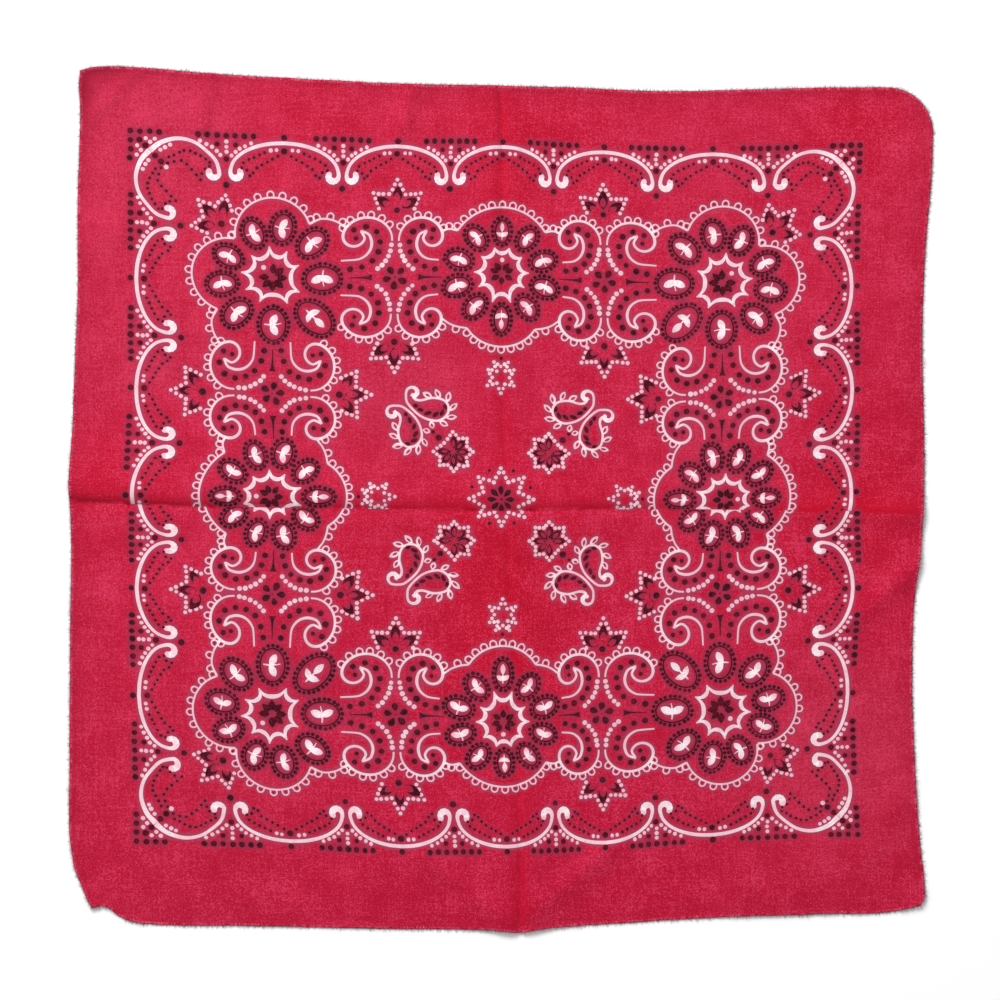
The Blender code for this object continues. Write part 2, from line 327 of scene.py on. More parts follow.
def spline(rows, spacing):
    """Rows at even spacing on a smooth curve through the rows given."""
    rows = np.array(rows, float)
    ends = np.vstack((2 * rows[0] - rows[1], rows, 2 * rows[-1] - rows[-2]))
    t = np.linspace(0, 1, 9)[:-1, None]
    runs = []
    for a, b, c, d in zip(ends, ends[1:], ends[2:], ends[3:]):
        slope, curve = (c - a) / 2, a - 2.5 * b + 2 * c - d / 2
        runs.append(b + slope * t + curve * t**2 + (1.5 * (b - c) + (d - a) / 2) * t**3)
    return evenly(np.vstack(runs + [rows[-1:]]), spacing)


def evenly(fine, spacing):
    reach = reach_along(fine)
    count = max(2, round(reach[-1] / spacing) + 1)
    return read_along(fine, reach, np.linspace(0, reach[-1], count))


def directions(points):
    along = np.gradient(points, axis=0)
    return along / sizes(along)


def ribbon(ink, line):
    """A stroke as a strip of four-sided marks along rows of (x, y, width)."""
    along = directions(line[:, :2])
    across = np.column_stack((-along[:, 1], along[:, 0])) * line[:, 2:3] / 2
    left, right = line[:, :2] + across, line[:, :2] - across
    quads = zip(left[:-1], left[1:], right[1:], right[:-1])
    return [Mark(ink, np.array(quad)) for quad in quads]


def stroke(ink, rows, spacing=3.0):
    return ribbon(ink, spline(rows, spacing))


def beads(ink, rows, count, radius, sides=6):
    """Dots evenly spaced on a smooth curve through (x, y) rows."""
    fine = spline(rows, 0.5)
    at = np.linspace(0, len(fine) - 1, count).round().astype(int)
    return [disc(ink, x, y, radius, sides) for x, y in fine[at]]


def dots(ink, radius, places, sides=8):
    return [disc(ink, x, y, radius, sides) for x, y in places]


def pointed_oval(ink, base, tip, width, belly=0.5, sharp=0.75):
    """A leaf from base to tip, widest at belly of its length."""
    base, tip = np.array(base, float), np.array(tip, float)
    along = tip - base
    across = np.array((-along[1], along[0])) / np.hypot(*along) * width / 2
    f = np.array((0.0, 0.12, 0.3, 0.5, 0.7, 0.88, 1.0))
    bulge = np.sin(np.pi * f ** (math.log(0.5) / math.log(belly))) ** sharp
    up = base + f[:, None] * along + bulge[:, None] * across
    down = base + f[1:-1, None] * along - bulge[1:-1, None] * across
    return Mark(ink, np.vstack((up, down[::-1])))


def redrawn(marks, change):
    return [Mark(mark.ink, change(mark.points)) for mark in marks]


def placed(marks, at=(0.0, 0.0), turn=0.0, flip=False, size=1.0):
    """The marks scaled, mirrored left to right, turned anticlockwise (degrees) and moved."""
    cos, sin = math.cos(math.radians(turn)), math.sin(math.radians(turn))
    rows = size * np.array(((cos, sin), (-sin, cos)))
    if flip:
        rows[0] *= -1
    return redrawn(marks, lambda points: points @ rows + np.array(at))


def both_ways(marks):
    return marks + placed(marks, flip=True)


def polar(radius, degrees):
    """A place at this distance, at an angle measured from straight up, anticlockwise."""
    angle = math.radians(degrees)
    return -radius * math.sin(angle), radius * math.cos(angle)


LACE_LINE = 1.9
# One loop of the lace edging, standing on the line y = 0, as (x, y, width)
LOOP = (
    (-3.0, 0.5, 1.5), (-3.2, 2.6, 1.5), (-2.7, 4.9, 1.6), (0.0, 6.4, 1.7),
    (2.7, 4.9, 1.6), (3.2, 2.6, 1.5), (3.0, 0.5, 1.5),
)


def loop():
    return stroke(WHITE, LOOP, 1.9) + [disc(DARK, 0, 3.0, 0.9, 5)]


def standing_loops(rows, count, first, last):
    """Loops standing on the left side of a curve through the rows."""
    line = spline(rows, 1.0)
    along = directions(line)
    marks = []
    for at in np.linspace(first, last, count):
        i = round(at * (len(line) - 1))
        turn = math.degrees(math.atan2(along[i, 1], along[i, 0]))
        marks += placed(loop(), line[i], turn)
    return marks


def laced(rows, count, first, last):
    """A thin white line with loops on its left side, between these shares of its length."""
    marks = stroke(WHITE, [(x, y, LACE_LINE) for x, y in rows])
    return marks + standing_loops(rows, count, first, last)


def arc(centre, radius, start, end, count):
    """Points round a circle, at angles measured anticlockwise from straight up."""
    return spiral(centre, radius, radius, start, end, count)


def spiral(centre, first, last, start, end, count):
    """Points round a centre, the distance going evenly from first to last."""
    turns = zip(np.linspace(first, last, count), np.linspace(start, end, count))
    return [tuple(np.add(centre, polar(radius, angle))) for radius, angle in turns]


def oval_arc(centre, across, up, start, end, count=7):
    """Points round an oval with these half sizes, at angles as arc takes them."""
    places = arc((0.0, 0.0), 1.0, start, end, count)
    return [(centre[0] + across * x, centre[1] + up * y) for x, y in places]


def swelling(ink, path, widths, spacing=2.6):
    """A stroke along the path whose width runs through the widths given, evenly spaced."""
    at = np.linspace(0, len(widths) - 1, len(path))
    widths = np.interp(at, np.arange(len(widths)), widths)
    return stroke(ink, [(x, y, width) for (x, y), width in zip(path, widths)], spacing)


def dotted(corners, steps, radius):
    """White dots along straight legs, so many steps to a leg; first the one at the end."""
    marks = [disc(WHITE, *corners[-1], radius, 7)]
    for start, end in zip(corners, corners[1:]):
        for part in np.arange(steps) / steps:
            place = np.array(start) * (1 - part) + np.array(end) * part
            marks.append(disc(WHITE, *place, radius, 7))
    return marks


# ---- the frame of scrolls: x from where two arches meet, y inward from the outer dots ----

ARCH_HALF = 59.6  # steps from there to an arch's middle
ARCH_RISE = 29.6
ARCH_FOOT = 35.0
DOT_ROW = 9.2  # steps between the outer dots
BEAD = 1.7
OUTER_DOT = 3.1
WHITE_DOT = 2.1


def outside_dots(more=()):
    """The dots between an arch and the cloth's edge, and more white ones with them."""
    row = oval_arc((ARCH_HALF, ARCH_FOOT), ARCH_HALF + 1.2, -ARCH_RISE - 4.4, 34, 63, 5)
    marks = dots(WHITE, WHITE_DOT, [*row, *more]) + dots(DARK, 2.7, ((DOT_ROW, 8.9),))
    return marks + outer_dots()


def outer_dots():
    return dots(DARK, OUTER_DOT, [(DOT_ROW * k, 0.0) for k in (1, 2, 3)])


def half_scroll():
    """Half of one arch of the frame, from its middle to its curled end."""
    middle = (ARCH_HALF, ARCH_FOOT)
    line = oval_arc(middle, ARCH_HALF - 4.4, -ARCH_RISE, 0, 86)
    line += spiral((9.7, 36.6), 5.5, 4.9, 90, -114, 8)
    marks = swelling(WHITE, line, (3.7, 3.7, 3.2, 3.4, 4.2, 5.6, 7.0, 7.0, 6.0))
    marks += [disc(WHITE, *line[-1], 3.0, 12)]
    marks += outside_dots(oval_arc(middle, ARCH_HALF - 11.0, -ARCH_RISE + 6.4, 10, 17, 2))
    outer = ((39.5, 15.4), (19.6, 25.0), (15.2, 30.5), (21.2, 33.4), (23.6, 38.8))
    inner = ((52.9, 18.4), (32.2, 30.0), (27.6, 36.0))
    return marks + beads(DARK, outer, 8, BEAD) + beads(DARK, inner, 6, BEAD)


def scroll_pair():
    """What stands where two arches meet."""
    marks = dots(DARK, OUTER_DOT, ((0.0, 0.0), (0.0, 23.2), (0.0, 49.0)))
    return marks + dots(WHITE, WHITE_DOT, ((0.0, 6.4), (0.0, 11.4), (0.0, 16.4)))


def arch_middle():
    return dots(DARK, OUTER_DOT, ((0.0, 0.0), (0.0, 13.4)))


CORNER_DOTS = (  # the white ones on each side of a corner
    (14.8, 6.6), (19.0, 10.6), (23.8, 6.8), (29.0, 18.0), (33.4, 14.9), (38.2, 12.4),
)
CORNER_DIAGONAL = (0.0, 8.6, 14.6, 23.8, 29.6)  # the dark ones on its diagonal


def half_corner():
    """Half of a corner of the frame, x along the side and y inward, both from the corner."""
    line = [(19.0, 19.0), (29.8, 10.2), (46.0, 5.3), (62.5, 8.4), (76.4, 18.6), (83.4, 26.8)]
    line += spiral((80.9, 37.5), 5.3, 4.8, -90, 102, 8)
    marks = swelling(WHITE, line, (5.6, 4.0, 3.2, 3.4, 4.2, 5.4, 6.5, 6.7, 6.4))
    marks += [disc(WHITE, *line[-1], 3.2, 12)] + outer_dots()
    marks += dots(WHITE, 2.2, CORNER_DOTS)
    outer = ((37.2, 24.9), (55.9, 16.8), (76.0, 26.8), (78.6, 30.6), (73.2, 33.4), (69.4, 39.4))
    inner = ((36.3, 30.9), (48.4, 27.3), (58.5, 35.1), (68.1, 45.8))
    return marks + beads(DARK, outer, 12, BEAD) + beads(DARK, inner, 7, BEAD)


def corner_middle():
    marks = dots(DARK, OUTER_DOT, [(place, place) for place in CORNER_DIAGONAL])
    return marks + dots(WHITE, 2.4, ((34.6, 34.6),))


def inward(marks):
    """Marks drawn as x along the side and y inward, stood on the top side of the frame."""
    return redrawn(marks, lambda points: points * (1, -1) + (0, FRAME))


def side_of_frame():
    marks = []
    for k in (2, 1, 3, 0, 4):  # the middle arch first
        middle, half = (PAIRS[k] + PAIRS[k + 1]) / 2, (PAIRS[k + 1] - PAIRS[k]) / 2
        unit = redrawn(half_scroll(), lambda points: points * (half / ARCH_HALF, 1))
        marks += placed(unit, (middle - half, 0)) + placed(unit, (middle + half, 0), flip=True)
        marks += placed(arch_middle(), (middle, 0))
    for x in PAIRS:
        marks += placed(scroll_pair(), (x, 0))
    for x in (PAIRS[0], PAIRS[-1]):
        marks += placed(outside_dots(), (x, 0), flip=x < 0)
    return inward(marks)


def corner_of_frame():
    """One corner's scroll, drawn at the top left."""
    marks = []
    for mark in half_corner():
        marks += [mark, Mark(mark.ink, mark.points[:, ::-1] * (0.97, 1))]
    return placed(inward(marks + corner_middle()), (-FRAME, 0))


# ---- medallions ----

def bird(size, up):
    """Two drooping wings spread along x with a stem across them; up is 1 or -1."""
    marks = both_ways([pointed_oval(WHITE, (-1.2, 2.4), (10.2, -3.0), 7.0, 0.52, 0.62)])
    marks += stroke(WHITE, ((0.5, 8.4, 1.1), (0.0, 3.4, 1.8), (0.3, -2.0, 1.3), (1.4, -7.2, 0.9)))
    return placed(marks, size=size, turn=0 if up > 0 else 180)


def sprig(size):
    """Two drooping leaves over a long one; its top is towards the middle."""
    leaves = both_ways([pointed_oval(WHITE, (-1.4, 2.8), (9.0, -2.8), 6.2, 0.46, 0.8)])
    marks = placed(leaves, (0, 4.6))
    marks += stroke(WHITE, ((0.0, 12.2, 1.0), (0.0, 7.0, 2.4), (0.0, -1.0, 1.2)))
    marks += [pointed_oval(WHITE, (0.0, 0.4), (0.0, -13.4), 6.8, 0.5)]
    return placed(marks, size=size, turn=90)


EYELET_BEAD = 2.08
EYELET_SPACING = 4.9
EYELET_INSET = 2.9  # from the ring of beads to the line inside it
EYELET_LINE = 1.6


def oval(long, short, angles):
    return np.column_stack((long * np.cos(angles), short * np.sin(angles)))


def eyelet(long, short, filling):
    """A ring of beads round an oval line, its long way along x, and what fills it."""
    fine = np.linspace(0, 2 * np.pi, 181)
    ring = evenly(oval(long, short, fine), EYELET_SPACING)
    marks = dots(DARK, EYELET_BEAD, ring[:-1], 6)
    line = oval(long - EYELET_INSET, short - EYELET_INSET, np.append(fine[::8], 2 * np.pi))
    line = np.column_stack((line, np.full(len(line), EYELET_LINE)))
    return marks + ribbon(DARK, line) + filling


SCALLOP = 2.7  # the higher, the flatter the bottom of each scallop


def scalloped_star(half):
    """Strokes that swell from tip to tip; half holds the tips and dips from top to bottom."""
    ring = [*half, *((360 - angle, distance) for angle, distance in half[-2:0:-1])]
    places = [np.array(polar(distance, angle)) for angle, distance in ring]
    first = 0 if ring[0][1] > ring[1][1] else -1
    marks = []
    for k in range(first, len(ring) + first, 2):
        start, dip, end = places[k], places[k + 1], places[(k + 2) % len(ring)]
        sag = dip - (start + end) / 2
        parts = np.linspace(0, 1, 9)
        path = [start + (end - start) * t + sag * (1 - abs(2 * t - 1) ** SCALLOP) for t in parts]
        marks += swelling(WHITE, path, (1.2, 2.9, 4.0, 4.4, 4.0, 2.9, 1.2))
    return marks


def drop(angle, near, far, width):
    return pointed_oval(DARK, polar(near, angle), polar(far, angle), width, 0.6, 0.6)


def medallion_heart(angles, reach):
    """Petals at these angles, and a white dot above them."""
    form = (0.49 * reach, 0.42, 0.95)
    marks = [
        pointed_oval(DARK, polar(3.4, angle), polar(reach, angle), *form) for angle in angles
    ]
    return marks + [disc(WHITE, *polar(13.6, 0), 2.5, 10)]


Eyelet = namedtuple("Eyelet", "angle distance long short size")


def eyelets(ends, sides):
    """Eyelets round a medallion: a sprig in each of its ends, a bird in each on either side."""
    marks = []
    for one in ends:
        marks += placed_eyelet(one, one.angle, sprig(one.size))
    for side in (-1, 1):
        for one in sides:
            marks += placed_eyelet(one, one.angle * side, bird(one.size, -side))
    return marks


def placed_eyelet(one, angle, filling):
    return placed(eyelet(one.long, one.short, filling), polar(one.distance, angle), angle + 90)


# Tips and dips of a medallion's star, as (angle, distance) from its top to its bottom
CORNER_STAR = (
    (0, 30.0), (19, 21.6), (38, 31.4), (55, 21.2), (72, 30.0), (90, 20.0), (108, 28.4),
    (136, 17.6), (164, 30.0), (180, 22.6),
)
MIDDLE_STAR = (
    (0, 20.4), (16, 27.0), (33, 20.6), (50, 26.2), (69, 18.2), (88, 27.0), (105, 18.4),
    (122, 26.6), (143, 18.4), (163, 31.0), (180, 21.0),
)


CORNER_ENDS = (Eyelet(180, 58.8, 23.0, 16.0, 1.0),)
CORNER_SIDES = (
    Eyelet(21.5, 47.6, 15.8, 12.0, 0.92), Eyelet(55.5, 50.6, 16.6, 12.6, 0.92),
    Eyelet(92.5, 52.0, 17.6, 13.4, 1.0), Eyelet(136.0, 49.0, 19.6, 15.2, 1.08),
)
MIDDLE_ENDS = (Eyelet(0, 42.8, 14.6, 9.6, 0.7), Eyelet(180, 46.8, 16.4, 10.0, 0.76))
MIDDLE_SIDES = (
    Eyelet(35.0, 43.8, 14.4, 10.4, 0.8), Eyelet(71.5, 43.8, 14.6, 10.6, 0.86),
    Eyelet(107.0, 45.0, 15.0, 11.4, 0.9), Eyelet(143.0, 42.6, 14.4, 10.8, 0.84),
)


def corner_medallion():
    """Its top is the side towards the corner of the cloth."""
    marks = scalloped_star(CORNER_STAR) + medallion_heart((45, 90, 135, 180, 225, 270, 315), 14.4)
    marks += eyelets(CORNER_ENDS, CORNER_SIDES)
    side = laced(arc((29.7, 29.7), 37.5, 51, -116, 13), 10, 0.03, 0.96)
    small = ((63.4, 13.3), (75.5, 8.8), (83.4, -2.0), (86.2, -14.4))
    return marks + both_ways(side + laced(small, 3, 0.24, 0.84))


def middle_medallion():
    """Its top is the side towards the edge of the cloth."""
    marks = scalloped_star(MIDDLE_STAR) + medallion_heart((33, 72, 124, 180, 236, 288, 327), 12.4)
    marks += eyelets(MIDDLE_ENDS, MIDDLE_SIDES)
    marks += laced(arc((0, 16), 51.6, 58, -58, 13), 11, 0.035, 0.965)
    marks += laced(arc((0, -35), 39.5, -122, -238, 11), 9, 0.05, 0.95)
    side = laced(((43.8, 43.4), (51.0, 45.2), (58.6, 43.6)), 1, 0.56, 0.56)
    side += laced(((57.0, -46.6), (50.0, -51.6), (42.0, -54.6), (33.5, -56.0)), 1, 0.6, 0.6)
    return marks + both_ways(side)


# ---- what joins the medallions ----

CURL_DOTS = (  # place and radius
    (38.5, 48.5, 2.8), (27.5, 52.0, 3.2), (17.5, 46.8, 3.2), (14.0, 36.5, 3.1), (15.5, 26.0, 3.0),
    (21.0, 17.0, 3.0), (30.5, 11.2, 3.1), (41.0, 8.6, 3.1), (36.5, 40.0, 2.2),
)
HOURGLASS = ((4.3, 32.8), (5.8, 24.0), (10.6, 15.2), (17.3, 8.8))


def curl(reach, wide):
    """One quarter of a joining piece, so wide; reach is where its inner line ends."""
    back = arc((26.2, 38.2), 23.0, 92, -64, 11)
    hook = spiral((37.8, 42.0), 10.4, 9.6, -84, -262, 8) + [(31.6, 47.2)]
    inner = [(32.2, 47.8)] + arc((38.0, 34.6), 16.3, 52, 170, 7) + [(reach / wide, 17.6)]
    back, hook, inner = ([(x * wide, y) for x, y in path] for path in (back, hook, inner))
    marks = swelling(WHITE, back + hook, (1.8, 2.3, 2.6, 3.0, 2.6, 2.4))
    marks += swelling(WHITE, inner, (2.2, 3.0, 2.4, 1.6))
    marks += standing_loops(back, 6, 0.24, 0.98)
    marks += [disc(DARK, x * wide, y, radius) for x, y, radius in CURL_DOTS]
    return marks + beads(WHITE, HOURGLASS, 6, 2.5, 8)


THORN = ((22.6, 0.0, 7.0), (25.8, 0.0, 3.8), (32.0, 0.0, 1.7), (45.5, 0.0, 0.7))


def joining_piece():
    """Its top is the side towards the edge, its left the side towards a corner."""
    near, far = curl(42.0, 0.94), curl(53.5, 1.08)
    marks = near + placed(near, flip=True, turn=180)
    marks += placed(far, flip=True) + placed(far, turn=180)
    marks += both_ways(stroke(DARK, THORN))
    marks += [drop(angle, 3.6, 12.4, 6.6) for angle in (-42, 30, 102, 174, 246)]
    return marks + [disc(DARK, 0.0, 0.0, 0.9, 5)]


LEAF_OUTLINE = (  # the right half of the dotted line round three leaves, from its top
    (0.0, 31.2), (8.0, 16.3), (23.2, 17.2), (17.0, 1.8),
)


def leaf_flower():
    """Three leaves above a dot, inside a dotted outline; its top is away from the dot."""
    marks = [disc(DARK, 0, 0, 3.3, 10)]
    for angle, tip in ((-57, 23.6), (0, 25.0), (57, 23.6)):
        marks += [pointed_oval(DARK, polar(6.0, angle), polar(tip, angle), 9.8, 0.5, 0.8)]
        marks += [pointed_oval(BARE, polar(6.8, angle), polar(tip - 7.0, angle), 6.8, 0.44, 0.7)]
    last, top, *others = dotted(LEAF_OUTLINE, 3, WHITE_DOT)
    return marks + [top] + both_ways([last, *others])


# ---- the middle ----

LEG_PARTS = 40


def pointed_ring(points, high, low, per_leg):
    """Dots on a star's outline, per_leg of them from one tip to the next dip."""
    path = []
    for angle in np.arange(points) * 360 / points:
        path += [polar(high, angle), polar(low, angle + 180 / points)]
    legs = zip(path, path[1:] + path[:1])
    fine = np.vstack([np.linspace(*leg, LEG_PARTS, endpoint=False) for leg in legs])
    at = np.round(np.arange(2 * points * per_leg) * LEG_PARTS / per_leg).astype(int)
    return dots(WHITE, WHITE_DOT, fine[at], 7)


def centre_star():
    marks = pointed_ring(8, 31.4, 18.8, 3)
    marks += [drop(angle, 3.8, 13.6, 5.2) for angle in range(0, 360, 45)]
    marks += [disc(DARK, *polar(31.2, angle + 22.5), 1.8, 6) for angle in range(0, 360, 45)]
    return marks + [disc(DARK, 0, 0, 1.3, 6)]


SMALL_STAR = (  # the right half of its outline, from its top
    (0.0, 10.2), (7.0, 14.8), (4.7, 5.9), (12.8, 7.3), (8.6, -0.8), (12.9, -8.8), (4.2, -7.0),
    (0.0, -16.6),
)


def small_star():
    """Seven points outlined in dots; one dark dot leads away from its top."""
    half = dotted(SMALL_STAR, 2, 1.9)
    return both_ways(half[2:]) + half[:2] + [disc(DARK, 0, 18.6, 1.9, 6)]


def star_flower():
    """A ring of seven petals; the eighth place, its top, has two dots that lead away."""
    marks = [disc(DARK, 0, 19.4, 3.2, 8), disc(DARK, 0, 27.6, 2.0, 7)]
    path = []
    for angle in range(45, 271, 45):
        path += [polar(19.6, angle), polar(14.4, angle + 22.5)]
    marks += dotted([*path, polar(19.6, 315)], 2, 2.0)
    marks += dotted([polar(19.6, 315), polar(12.4, 360), polar(19.6, 45)], 3, 2.0)[2:]
    for angle in range(45, 316, 45):
        marks += [pointed_oval(DARK, polar(2.6, angle), polar(16.2, angle), 6.6, 0.55, 0.8)]
        marks += [pointed_oval(BARE, polar(4.6, angle), polar(12.4, angle), 3.9, 0.5, 0.8)]
    return marks


PAISLEY_BODY = (  # from beyond the curled tail round the body and back
    (-17.4, 13.3), (-4.6, 0.8), (0.0, -14.1), (-4.6, -23.6), (-13.0, -26.6), (-20.8, -22.2),
    (-23.2, -11.0), (-20.6, 0.0), (-21.6, 5.8), (-25.2, 7.6),
)
PAISLEY_LEAVES = (  # base and tip
    (0.6, -8.6, 8.4, -11.0), (0.4, -17.0, 5.2, -26.0), (-3.4, -23.4, -4.8, -34.8),
    (-10.2, -26.8, -18.6, -35.4), (-18.6, -25.0, -29.6, -27.4), (-22.6, -18.4, -32.6, -13.4),
    (-23.4, -10.6, -28.4, -1.6),
)
PAISLEY_SEEDS = (  # middle, direction and length
    (-15.2, 6.0, -60, 4.4), (-11.2, 0.6, -75, 5.8), (-7.2, -6.0, 70, 6.8), (-6.2, -13.6, 50, 6.8),
    (-8.0, -20.0, 25, 6.8), (-14.4, -23.4, -15, 5.0),
)


def paisley():
    tail = spiral((-28.2, 8.0), 2.2, 7.1, 320, -14, 9)
    marks = swelling(WHITE, tail, (3.4, 4.6, 4.8, 3.8, 2.7, 2.3))
    marks += swelling(WHITE, tail[-1:] + list(PAISLEY_BODY), (2.3, 2.3, 2.4, 2.3, 2.4, 3.4))
    for base, tip in np.reshape(PAISLEY_LEAVES, (-1, 2, 2)):
        start, end = base * 0.78 + tip * 0.22, base * 0.24 + tip * 0.76
        marks += [pointed_oval(WHITE, base, tip, 5.9, 0.52, 0.8)]
        marks += [pointed_oval(BARE, start, end, 2.5, 0.5, 0.8)]
    for x, y, angle, length in PAISLEY_SEEDS:
        reach = np.array(polar(length * 0.58, angle - 90))
        marks += [pointed_oval(DARK, (x, y) - reach, (x, y) + reach, 3.9, 0.5, 0.6)]
    return marks


def paisley_pair():
    """Drawn for the far left quarter; the second mirrors the first in its diagonal."""
    one = paisley()
    return one + redrawn(one, lambda points: -points[:, ::-1])


# ---- the whole print ----

def side_motifs():
    """What stands on the top side of the print, without its corners."""
    marks = side_of_frame() + placed(middle_medallion(), (0, 227.4))
    flower = leaf_flower()
    joining = joining_piece() + placed(flower, (0, 68.6)) + placed(flower, (0, -66.0), 180)
    marks += placed(joining, (103.2, 223.4), flip=True) + placed(joining, (-103.2, 223.4))
    return marks + placed(small_star(), (0, 122.6))


def corner_motifs():
    """What stands in the top left corner of the print."""
    marks = corner_of_frame() + placed(corner_medallion(), (-223.7, 223.7), 45)
    marks += placed(leaf_flower(), (-274.8, 274.8), 45)
    marks += placed(star_flower(), (-46.9, 46.9), 45)
    return marks + placed(paisley_pair(), (-77.4, 77.4))


PRINT_SEED = 5
SIZE_SPREAD = 0.045
PLACE_SPREAD = 0.22  # steps


def unsteady(marks):
    """Dots and petals set down by hand: each a little off its place and size."""
    random = np.random.default_rng(PRINT_SEED)

    def nudged(points):
        if len(points) == 4:  # a piece of a stroke
            return points
        middle = points.mean(axis=0)
        size = random.normal(1.0, SIZE_SPREAD)
        return middle + (points - middle) * size + random.normal(0, PLACE_SPREAD, 2)

    return redrawn(marks, nudged)


def whole_print():
    marks = centre_star()
    for turn in (0, 90, 180, 270):
        marks += placed(side_motifs() + corner_motifs(), turn=turn)
    return unsteady(marks)


# How far the lie of the cloth has carried the print, mm right and away, at 7 by 7 places
DRIFT_AT = (-362.5, -223.5, -103.0, 0.0, 103.0, 223.5, 362.5)
DRIFT = (
    ((-4.9, 9.8), (-0.4, 6.8), (2.2, 3.1), (3.9, 3.0), (1.0, 5.5), (0.9, 11.1), (-0.6, 14.5)),
    ((-6.8, 9.4), (-5.6, 3.8), (-2.4, 2.7), (1.3, 1.4), (-1.0, 3.8), (-0.4, 6.4), (-3.7, 10.9)),
    ((-8.5, 9.1), (-5.5, 4.5), (-2.3, 3.5), (1.0, 3.0), (0.8, 2.8), (-0.7, 4.8), (0.0, 9.0)),
    ((-11.4, 2.9), (-4.0, 1.8), (-1.5, 1.6), (0.0, 0.0), (2.1, 0.3), (-0.5, -0.4), (-1.0, 4.7)),
    ((-8.8, 5.7), (-5.7, 2.8), (-3.2, 1.8), (-0.2, 1.0), (1.2, -1.0), (0.7, 0.2), (-0.5, 4.5)),
    ((-8.8, 7.7), (-5.1, 0.9), (-3.0, 1.2), (0.3, 1.3), (0.6, -1.3), (0.5, -2.6), (-0.9, 2.0)),
    ((-9.0, 7.6), (-4.7, 3.1), (-0.4, 0.7), (1.3, 0.3), (0.0, -3.1), (1.2, -4.5), (1.2, -1.7)),
)

# What the level crease has swallowed, mm right and away, for each of those columns:
# below it the print starts this much further on
SWALLOWED = (
    (3.9, 6.2), (0.0, 2.7), (0.0, 1.9), (0.0, 3.0), (0.0, 2.4), (0.0, 4.6), (0.0, 4.0),
)
SWALLOWED_REACH = 103.0  # steps below the middle where the drift alone accounts for it


def between(knots, at):
    """The knot before each place, the gap after it, and the share of that gap."""
    knots = np.array(knots)
    before = np.clip(np.searchsorted(knots, at) - 1, 0, len(knots) - 2)
    gap = knots[before + 1] - knots[before]
    return before, gap, (at - knots[before]) / gap


def eased(low, high, low_slope, high_slope, gap, t):
    """A smooth curve over a gap, from its values and slopes at both ends."""
    curve = low * (1 + 2 * t) * (1 - t) ** 2 + high * t * t * (3 - 2 * t)
    return curve + gap * (low_slope * t * (1 - t) ** 2 - high_slope * t * t * (1 - t))


def drifted(points):
    """Chart steps to millimetres on the laid cloth."""
    drift = np.array(DRIFT)
    slopes = np.gradient(drift, DRIFT_AT, axis=0)
    i, gap, t = between(DRIFT_AT, points[:, 1])
    gap, t = gap[:, None, None], t[:, None, None]
    rows = eased(drift[i], drift[i + 1], slopes[i], slopes[i + 1], gap, t)
    slopes = np.gradient(rows, DRIFT_AT, axis=1)
    i, gap, t = between(DRIFT_AT, points[:, 0])
    n = np.arange(len(points))
    gap, t = gap[:, None], t[:, None]
    moved = eased(rows[n, i], rows[n, i + 1], slopes[n, i], slopes[n, i + 1], gap, t)
    return points * STEP + moved


def swallowed(points):
    """How much further on the print starts below the crease, at each place of the chart."""
    share = np.clip(1 + points[:, 1] / SWALLOWED_REACH, 0, 1)
    steps = [np.interp(points[:, 0], DRIFT_AT, column) for column in np.array(SWALLOWED).T]
    return np.column_stack(steps) * share[:, None]


def kept_side(ring, distances):
    """The part of a ring where the distances are positive."""
    kept = []
    after, later = np.roll(ring, -1, axis=0), np.roll(distances, -1)
    for place, distance, next_place, next_distance in zip(ring, distances, after, later):
        if distance > 0:
            kept.append(place)
        if (distance > 0) != (next_distance > 0):
            kept.append(place + (next_place - place) * distance / (distance - next_distance))
    kept = np.array(kept).reshape(-1, 2)
    return kept[sizes(np.roll(kept, -1, axis=0) - kept)[:, 0] > LEAST_SIDE]


def creased(ring, shift, clear):
    """What shows of a mark above the crease, and of the same mark below it."""
    lowered = ring + shift
    above = kept_side(ring, above_level(*ring.T) - clear)
    pieces = above, kept_side(lowered, -above_level(*lowered.T) - clear)
    return [piece for piece in pieces if len(piece) > 2 and abs(shoelace(piece)) > 2 * LEAST_MARK]


# ---- the cloth's mesh ----

STATION_STEP = 2.5  # along the edges
CORNER_CLEAR = 4.2  # from a corner to the next station
GRID_STEP = 5.0
GRID_HALF_SIDE = 290.0
BESIDE_CREASE = (1.2, 2.4, 4.0, 6.0, 8.5, 12.0)
LEAST_MARK = 0.05  # a mark of less area than this is hidden in the crease
LEAST_SIDE = 0.01  # nor does a cut leave a side as short as this
CREASE_CLEAR = 0.02  # how far a mark stops short of the crease
CREASE_STAGGER = 0.005  # so that no two neighbouring marks stop along the same line
STAGGERS = 25
INK_CELL = 0.5  # of the grid on which the inks' haze is worked out
INK_CELLS = 1200
HAZE_REACH = 2.2  # how far the dark dye's haze spreads, and the white's
BLOOM_REACH = 2.0
DARKENING_REACH = 9.0  # in from the edges
DARKENING_LEAST = 0.4
# The curled far left corner, whose shade is painted into the cloth's colour
SHADED_CORNER = (-276.0, 281.0)
SHADED_CORNER_REACH = 40.0
CREASE_SHADE_REACH = 6.0  # how far the painted crease shade reaches above the level crease and beside the upright one
UPRIGHT_SHADE = 0.5  # how strong the painted shade is there, where it is 1 at the level one
CREASE_ITSELF = 0.01  # half the width of the line that counts as the level crease
CROWDED_CELL = 2.2  # a grid point is left out of a cell of this size that holds print
INSIDE_FACES = 1  # triangles that lie in a ring, the only ones that are kept
MERGE_WITHIN = 1e-3  # closer points become one


def edge_stations(edge):
    """Even places along an edge, with room for the mitre at both corners."""
    reach = reach_along(edge)
    length = reach[-1]
    count = round((length - 2 * CORNER_CLEAR) / STATION_STEP)
    at = np.linspace(CORNER_CLEAR, length - CORNER_CLEAR, count + 1)
    return read_along(edge, reach, np.concatenate(([0], at, [length])))


